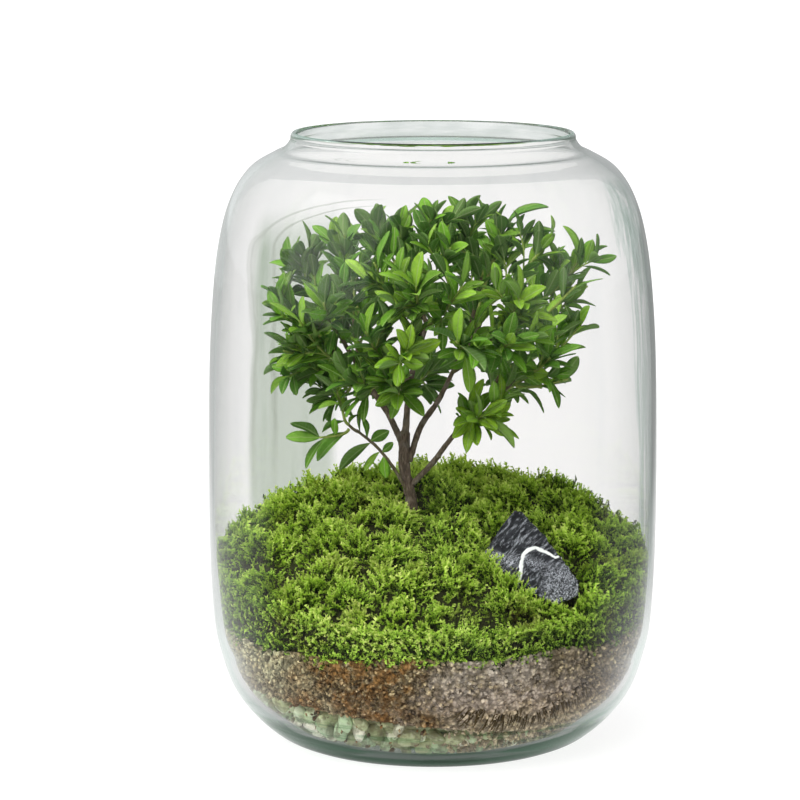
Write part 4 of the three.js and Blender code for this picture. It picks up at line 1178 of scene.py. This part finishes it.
# ---- the leafy sprays ----
# 47 sprays, each a green twig with its leaves: small, leathery, narrow leaves in a loose ring at the
# end and in turns down the twig. They are glossy above with a pale midrib and a painted highlight along
# their edges, duller and greyer below.
TWIG_RADII = (0.85, 0.5)
TWIGLET_RADII = (0.5, 0.35)
LEAVES_PER_SPRAY = 6
LEAVES_BEHIND = 5
BACK = 38  # from here on back a spray counts as behind
ROSETTE = 4  # leaves in a ring at the twig's end
GOLDEN_ANGLE = 2.39996
EXTRA_LEAVES = 10
EXTRA_AT_RIGHT = 6
EXTRA_ON_THIN = 3
BOUGH_LEAVES = 7  # the older leaves further in, down the bough
TWIGLETS = 2
TWIGLET_LEAVES = 7
LEAF_STATIONS = [  # shares of a leaf's length and of its half width
    (0, 0.1), (0.06, 0.12), (0.15, 0.36), (0.27, 0.66), (0.41, 0.9), (0.55, 1.0), (0.69, 0.97),
    (0.81, 0.8), (0.91, 0.53), (0.97, 0.28), (1, 0.05),
]
LEAF_COLUMNS = (-1, -0.52, 0, 0.52, 1)
LEAF_HALF_THICKNESS = 0.17
LEAF_ARCH = 0.2
LEAF_LIFT = 0.22  # how far leaves reach up to the light
LEAF_GAP = 1.2  # a leaf that comes nearer to the glass is left out
LEAF_CLEAR = 0.28
LEAF_GLOW = (0.26, 0.6, 0.02)
FRONT = np.array((0, -1, 0.2))
USUAL_YOUTH = 0.1
BRIGHT_SPRAYS = {13: 1.0, 45: 0.95, 33: 0.85, 3: 0.5, 15: 0.45, 17: 0.4, 31: 0.45}
OPEN_SPRAYS = (46, 47)
THIN_SPRAYS = (41, 32)
BARE_TIPS = (1, 2, 7, 28, 30, 31, 32, 41, 42, 45)  # sprays whose end leaves are all given one by one
SINGLE_LEAVES = {  # by spray: the share of the twig, the tip, the breadth from the front, 1 if face up
    28: [(1.0, (22, 20, 265), 1.5, 1), (0.99, (56, 10, 265), 4, 1), (0.72, (60, 8, 251), 3, 1),
         (0.68, (44, 9, 253), 4.5, 1), (0.76, (28, 20, 258), 6.5, 1)],
    29: [(0.89, (58, -8, 252), 5, 1)],
    30: [(0.85, (66, 9, 254), 4, 1), (0.84, (80, 17, 244), 6, 1), (0.85, (85, 3, 245), 3, -1),
         (0.44, (64, 6, 239), 6.5, 1), (0.65, (63, 9, 243), 6, 1)],
    32: [(0.9, (82, -18, 231), 1, 1)],
    31: [(0.62, (76, 18, 225), 6.4, 1), (0.62, (82, 24, 214), 2, 1), (0.49, (73, 25, 213), 1.5, 1)],
    42: [(0.91, (77, -5, 216), 4.4, 1), (0.85, (83, 13, 202), 1, 1), (0.89, (65, 0, 215), 5, 1)],
    1: [(0.98, (-83, -22, 226), 1, 1), (0.69, (-83, -17, 219), 5, 1), (0.93, (-72, -18, 230), 4, 1),
        (0.83, (-69, -17, 231), 4.5, 1)],
    2: [(0.74, (-83, -12, 202), 2, 1)],
    7: [(0.91, (-84, 19, 178), 3, -1), (0.3, (-69, 4, 177), 4.4, -1), (0.96, (-73, 2, 194), 2.5, 1),
        (0.12, (-50, 10, 195), 5, 1)],
    9: [(0.02, (-54, 13, 160), 2.5, 1)],
    45: [(0.15, (23, -26, 183), 5.4, 1), (0.97, (36, -44, 174), 6, 1), (0.13, (11, -33, 168), 4.4, 1),
         (0.07, (9, -35, 155), 6.5, 1), (0.02, (23, -36, 151), 6.4, 1), (0.97, (41, -38, 153), 4.4, -1),
         (0.97, (37, -32, 170), 5.9, 1), (0.6, (30, -48, 163), 5, 1)],
    40: [(0.12, (55, -30, 186), 7.5, 1)],
    44: [(0.97, (55, 46, 166), 6.9, 1), (0.33, (42, 22, 166), 1.5, 1)],
    41: [(0.74, (67, 4, 176), 4.9, -1)],
    35: [(0.89, (27, -70, 194), 7, -1), (0.62, (18, -46, 179), 6.5, 1)],
    27: [(0.98, (13, -4, 266), 5.5, 1)],
    24: [(0.26, (-14, 21, 219), 7, -1)],
    39: [(0.97, (30, 53, 208), 5.4, 1)],
    33: [(0.37, (32, -49, 219), 5.9, 1), (0.97, (40, -66, 222), 5.5, 1), (0.64, (59, -45, 213), 4.4, 1)],
    34: [(0.97, (38, -67, 210), 5.5, 1), (0.97, (50, -57, 209), 5.5, 1)],
    13: [(0.87, (4, -56, 204), 7, 1), (0.95, (-9, -62, 213), 5.4, 1), (0.79, (-1, -60, 196), 4.4, -1),
         (0.6, (-21, -58, 190), 5.5, 1)],
    25: [(0.97, (-36, 41, 189), 5.9, 1)],
    46: [(0.3, (-50, -18, 179), 4.4, 1), (0.34, (-39, -12, 170), 2.5, 1), (0.15, (-54, -25, 155), 2.5, -1),
         (0.0, (-37, -10, 163), 2, 1), (0.97, (-48, -20, 188), 4.5, 1), (0.9, (-38, -17, 184), 3.5, 1),
         (0.85, (-57, -24, 184), 3.5, -1), (0.6, (-56, -20, 168), 3, 1)],
    47: [(0.08, (-58, -20, 143), 6.4, 1), (0.9, (-71, -27, 152), 6, 1), (0.97, (-67, -32, 163), 5, -1),
         (0.8, (-63, -26, 139), 4, 1), (0.5, (-47, -27, 163), 4, 1)],
}
SHOOT_LEAVES = [  # the same, along the thin low shoot
    (0.77, (-47, -15, 137), 5.4, -1), (0.79, (-22, -18, 156), 6, 1), (0.84, (-33, -18, 162), 2.5, 1),
    (0.95, (-34, -14, 172), 1.5, 1), (0.62, (-34, -13, 135), 3.4, 1), (0.6, (-19, -16, 149), 4, 1),
    (0.56, (-24, -12, 131), 5.5, 1),
]


def drawer(seed):
    """The same seeded row of draws as the CAD part's, so the leaves stand where its blades do."""
    state = seed

    def draw(low=0.0, high=1.0):
        nonlocal state
        state = (state * 16807) % 2147483647
        return low + (high - low) * state / 2147483647

    return draw


def twig_knots(bough, index, tip):
    """The way of a spray's twig: the first goes on from the bough's end, the others leave its side."""
    share = 1 - 0.2 * index
    bark_spot = bough.at(share)
    out = bough.along(share)
    if index > 0:
        across = tip - bark_spot
        out = unit(across - out * (across @ out))
        bark_spot = bark_spot + BOUGH_RADII[0] * out
    start = bark_spot + 0.3 * out
    sag = (0, 0, -0.08 * np.linalg.norm(tip - start))
    return [start, start + 2 * out, start + 0.55 * (tip - start) + sag, tip]


def on_twig(way, share, azimuth, pitch, length, width, youth, rng):
    """A leaf that leaves a twig at a share of its length, turned round the twig and pitched off it."""
    axis = way.along(share)
    side = unit(np.cross(axis, (0, 0, 1)))
    radial = math.cos(azimuth) * side + math.sin(azimuth) * np.cross(side, axis)
    along = unit(math.cos(pitch) * axis + math.sin(pitch) * radial + (0, 0, LEAF_LIFT))
    facing = 0.5 * axis + (0, 0, 0.6) + rng.normal(0, 0.32, 3)
    return way.at(share), along, facing, length, width, youth


def single_leaf(way, share, tip, seen, side, youth):
    """A leaf from a twig to a tip, rolled until it shows a breadth to the front."""
    root = way.at(share)
    length = np.linalg.norm(tip - root)
    along = (tip - root) / length
    front = unit(FRONT - along * (FRONT @ along))
    edge = np.cross(along, front)
    edge = edge * (1 if edge[2] > 0 else -1)
    width = max(seen, 0.38 * length)
    roll = seen / width
    return root, along, side * roll * front + math.sqrt(1 - roll**2) * edge, length, width, youth


def leaf_turns(way, turn, count, draw, youth, low, high, rng, scale=1.0):
    """More leaves between those of the rule: in turns along a twig from its end down."""
    leaves = []
    for k in range(count):
        share = high - (high - low) * (k / max(count - 1, 1)) ** 1.1
        azimuth = turn + GOLDEN_ANGLE * k + draw(-0.35, 0.35)
        pitch = draw(0.4, 0.9) if k < 2 else draw(0.6, 1.1)
        size = scale * draw(12.5, 18.5), scale * draw(4.8, 6.9)
        leaves.append(on_twig(way, share, azimuth, pitch, *size, youth * draw(0.4, 1), rng))
    return leaves


def add_leaves(mesh, leaves, rng):
    """Adds leaves all at once: each is a thin closed blade with a folded midrib and a bent tip."""
    root, along, facing = (np.array([leaf[i] for leaf in leaves]) for i in range(3))
    length, width, youth = (np.array([leaf[i] for leaf in leaves]) for i in range(3, 6))
    count = len(leaves)
    across = unit(np.cross(along, facing))
    face = np.cross(across, along)
    share, spread = np.array(LEAF_STATIONS).T
    columns = np.array(LEAF_COLUMNS)
    fold = rng.uniform(0.12, 0.7, (count, 1, 1))
    droop = rng.uniform(-0.1, 0.12, (count, 1))
    swing = rng.normal(0, 0.07, (count, 1, 1))
    wave = rng.uniform(0, 0.05, (count, 1, 1)) * width[:, None, None]
    phase = rng.uniform(0, 6.3, (count, 1, 1))
    half = (spread[:, None] * columns)[None] * (width / 2)[:, None, None]
    bend = length[:, None] * (LEAF_ARCH * share * (0.8 - share) - droop * share**2)
    lift = fold * np.abs(half) + bend[:, :, None] + wave * columns**2 * np.sin(9 * share[:, None] + phase)
    aside = half + swing * length[:, None, None] * (share * share)[None, :, None]
    middle = root[:, None, None] + along[:, None, None] * (length[:, None] * share)[:, :, None, None]
    middle = middle + across[:, None, None] * aside[..., None]
    swell = LEAF_HALF_THICKNESS * (1 - columns**2)
    upper = middle + face[:, None, None] * (lift + swell)[..., None]
    lower = middle + face[:, None, None] * (lift - swell)[..., None]
    lower = lower[:, 1:-1, 1:-1]  # the two sides share their edge
    points = np.concatenate([upper.reshape(count, -1, 3), lower.reshape(count, -1, 3)], axis=1)
    reach = np.hypot(points[..., 0], points[..., 1])
    fits = (reach < inside_radius(points[..., 2]) - LEAF_GAP).all(axis=1)
    points = points[fits]

    tops = np.arange(len(share) * len(columns)).reshape(len(share), len(columns))
    backs = tops.copy()
    backs[1:-1, 1:-1] = tops.size + np.arange(tops[1:-1, 1:-1].size).reshape(tops[1:-1, 1:-1].shape)
    starts = (np.arange(len(points)) * points.shape[1])[:, None, None]

    def quads(grid):
        corners = [grid[:-1, :-1], grid[:-1, 1:], grid[1:, 1:], grid[1:, :-1]]
        return np.stack(corners, axis=-1).reshape(-1, 4) + starts

    def marks(values):
        whole = np.broadcast_to(values, (count, *tops.shape))
        under = whole[:, 1:-1, 1:-1].reshape(count, -1)
        return np.concatenate([whole.reshape(count, -1), under], axis=1)[fits].ravel()

    tone = rng.uniform(0, 1, (count, 1, 1))
    named = {"across": half, "along": share[None, :, None], "tone": tone, "youth": youth[:, None, None]}
    named = {name: marks(values) for name, values in named.items()}
    mesh.add(points, quads(tops), quads(backs)[..., ::-1], finish=(0, 1), **named)


def side_veins(finish, across, low):
    """Fine veins that run slanting from the midrib out to the leaf's edge."""
    return (finish.mark("along") * 62 - across * 2.6).math("SINE").step(low, 1)


leaf_top = Finish("leaf_upper_side")
leaf_tone = leaf_top.mark("tone")
leaf_across = abs(leaf_top.mark("across"))
leaf_hue = (leaf_tone * 7.3).math("FRACT")
leaf_mottle = leaf_top.grain(3, detail=4).step(0.35, 0.7)
leaf_flecks = leaf_top.grain(0.8, detail=4).step(0.48, 0.62)
leaf_veins = side_veins(leaf_top, leaf_across, 0.55)
leaf_midrib = leaf_across.step(0.36, 0.12)
leaf_old = leaf_top.ramp(
    leaf_tone,
    (0, (0.014, 0.052, 0.003)),
    (0.3, (0.07, 0.225, 0.012)),
    (0.65, (0.215, 0.51, 0.034)),
    (1, (0.5, 0.79, 0.1)),
)
leaf_colour = leaf_top.blend(
    leaf_old,
    (leaf_hue.step(0.72, 0.8) * 0.45, (0.07, 0.2, 0.07)),
    (leaf_hue.step(0.28, 0.2) * 0.45, (0.22, 0.34, 0.03)),
    (leaf_top.mark("youth"), (0.34, 0.56, 0.03)),
    (leaf_mottle * 0.45, (0.08, 0.21, 0.018)),
    (leaf_flecks * 0.3, (0.34, 0.52, 0.1)),
    (leaf_veins * 0.32, (0.22, 0.42, 0.07)),
    # A painted highlight along each leaf's edges.
    (leaf_across.step(2.2, 3.2) * 0.4, (0.34, 0.52, 0.12)),
    (leaf_midrib * 0.7, (0.42, 0.58, 0.18)),
)
leaf_relief = leaf_midrib * -1 + leaf_veins * -0.4 + leaf_mottle * 0.4
leaf_gloss = 0.26 + leaf_mottle * 0.16
leaf_skin = leaf_top.skin(
    leaf_colour, leaf_gloss, leaf_relief, 0.2, specular=0.22, Coat_Weight=0.06, Coat_Roughness=0.12
)
leaf_upper = leaf_top.leaf_out(LEAF_CLEAR, leaf_skin, LEAF_GLOW)

leaf_back = Finish("leaf_underside")
back_across = abs(leaf_back.mark("across"))
back_midrib = back_across.step(0.45, 0.16)
back_veins = side_veins(leaf_back, back_across, 0.4)
back_colour = leaf_back.blend(
    leaf_back.ramp(leaf_back.mark("tone"), (0, (0.06, 0.13, 0.03)), (1, (0.18, 0.29, 0.08))),
    (leaf_back.mark("youth"), (0.26, 0.42, 0.08)),
    (back_veins * 0.25, (0.3, 0.4, 0.2)),
    (back_midrib * 0.7, (0.36, 0.45, 0.2)),
)
back_skin = leaf_back.skin(back_colour, 0.5, back_midrib + back_veins * 0.4, 0.16, specular=0.2)
leaf_under = leaf_back.leaf_out(LEAF_CLEAR, back_skin, LEAF_GLOW)

green_twig = Finish("green_twig")
twig_streaks = green_twig.grain(1.6, detail=4, stretch=(1.5, 1.5, 0.5)).step(0.35, 0.7)
twig_colour = green_twig.blend(
    (0.12, 0.12, 0.03), (twig_streaks, (0.3, 0.3, 0.09)), (green_twig.mark("along"), (0.28, 0.38, 0.07))
)
twig_skin = green_twig.skin(twig_colour, 0.6, twig_streaks, 0.15)
leaf_finishes = [leaf_upper, leaf_under, green_twig.out(twig_skin)]
twig_marks = {"finish": 2, "across": 0.0, "tone": 0.5, "youth": 0.0}

spray_rng = np.random.default_rng(2027)
inner_rng = np.random.default_rng(88)
number = 0
for limb, share, end, tips in BOUGHS:
    bough = Way(bough_knots(limb, share, end))
    for index, tip in enumerate(tips):
        tip = np.array(tip, float)
        twig = Way(twig_knots(bough, index, tip))
        draw = drawer(1000 + 37 * number)
        number += 1
        is_open = number in OPEN_SPRAYS
        is_thin = number in THIN_SPRAYS
        youth = BRIGHT_SPRAYS.get(number, USUAL_YOUTH)
        spray = Gathered()
        tube(spray, twig, TWIG_RADII, 7, 14, along=0.7, **twig_marks)
        singles = [(twig, *leaf) for leaf in SINGLE_LEAVES.get(number, [])]
        if number == OPEN_SPRAYS[0]:
            singles += [(limb_ways["shoot"], *leaf) for leaf in SHOOT_LEAVES]
        leaves = [single_leaf(*leaf, youth) for leaf in singles]

        # The CAD part's rule: a ring of leaves at the twig's end, then one by one in turns down it.
        turn = draw(0, 2 * math.pi)
        for k in range(LEAVES_BEHIND if tip[1] > BACK else LEAVES_PER_SPRAY):
            ringed = k < ROSETTE
            spot = 0.97 - 0.07 * k if ringed else 0.65 - 0.18 * (k - ROSETTE)
            azimuth = 2 * math.pi * k / ROSETTE if ringed else GOLDEN_ANGLE * k
            azimuth = turn + azimuth + draw(-0.25, 0.25)
            pitch = draw(0.75, 1.2) if ringed else draw(0.95, 1.35)
            length = draw(14, 20) if ringed else draw(15, 19)
            blade = 0.8 * pitch, length, 0.92 * draw(6.2, 8), youth
            if number not in BARE_TIPS or not ringed:
                leaves.append(on_twig(twig, spot, azimuth, *blade, spray_rng))
        if is_open:
            del leaves[len(singles):]
        else:
            extra = EXTRA_ON_THIN if is_thin else EXTRA_AT_RIGHT if tip[0] > 50 else EXTRA_LEAVES
            leaves += leaf_turns(twig, turn + 0.8, extra, draw, youth, 0.18, 0.8, spray_rng)
        for side_twig in range(0 if is_open or is_thin else TWIGLETS):
            start_share = 0.62 - 0.27 * side_twig
            start, run = twig.at(start_share), twig.along(start_share)
            out = unit(np.cross(run, spray_rng.normal(size=3)))
            far = start + (run * 0.6 + out * 0.7 + np.array((0, 0, 0.25))) * spray_rng.uniform(11, 17)
            twiglet = Way([start, (start + far) / 2 + run * 1.5, far])
            tube(spray, twiglet, TWIGLET_RADII, 6, 8, along=1.0, **twig_marks)
            first = draw(0, 6)
            leaves += leaf_turns(twiglet, first, TWIGLET_LEAVES, draw, youth, 0.35, 0.99, spray_rng, 0.9)
        add_leaves(spray, leaves, spray_rng)
        if index == 0 and not (is_open or is_thin):
            start = inner_rng.uniform(0, 2 * math.pi)
            older = leaf_turns(bough, start, BOUGH_LEAVES, draw, 0.5 * youth, 0.45, 0.97, inner_rng)
            add_leaves(spray, older, inner_rng)
        spray.piece(f"foliage_{number:02}", leaf_finishes, "leaf", f"leafy_spray_{number:02}")
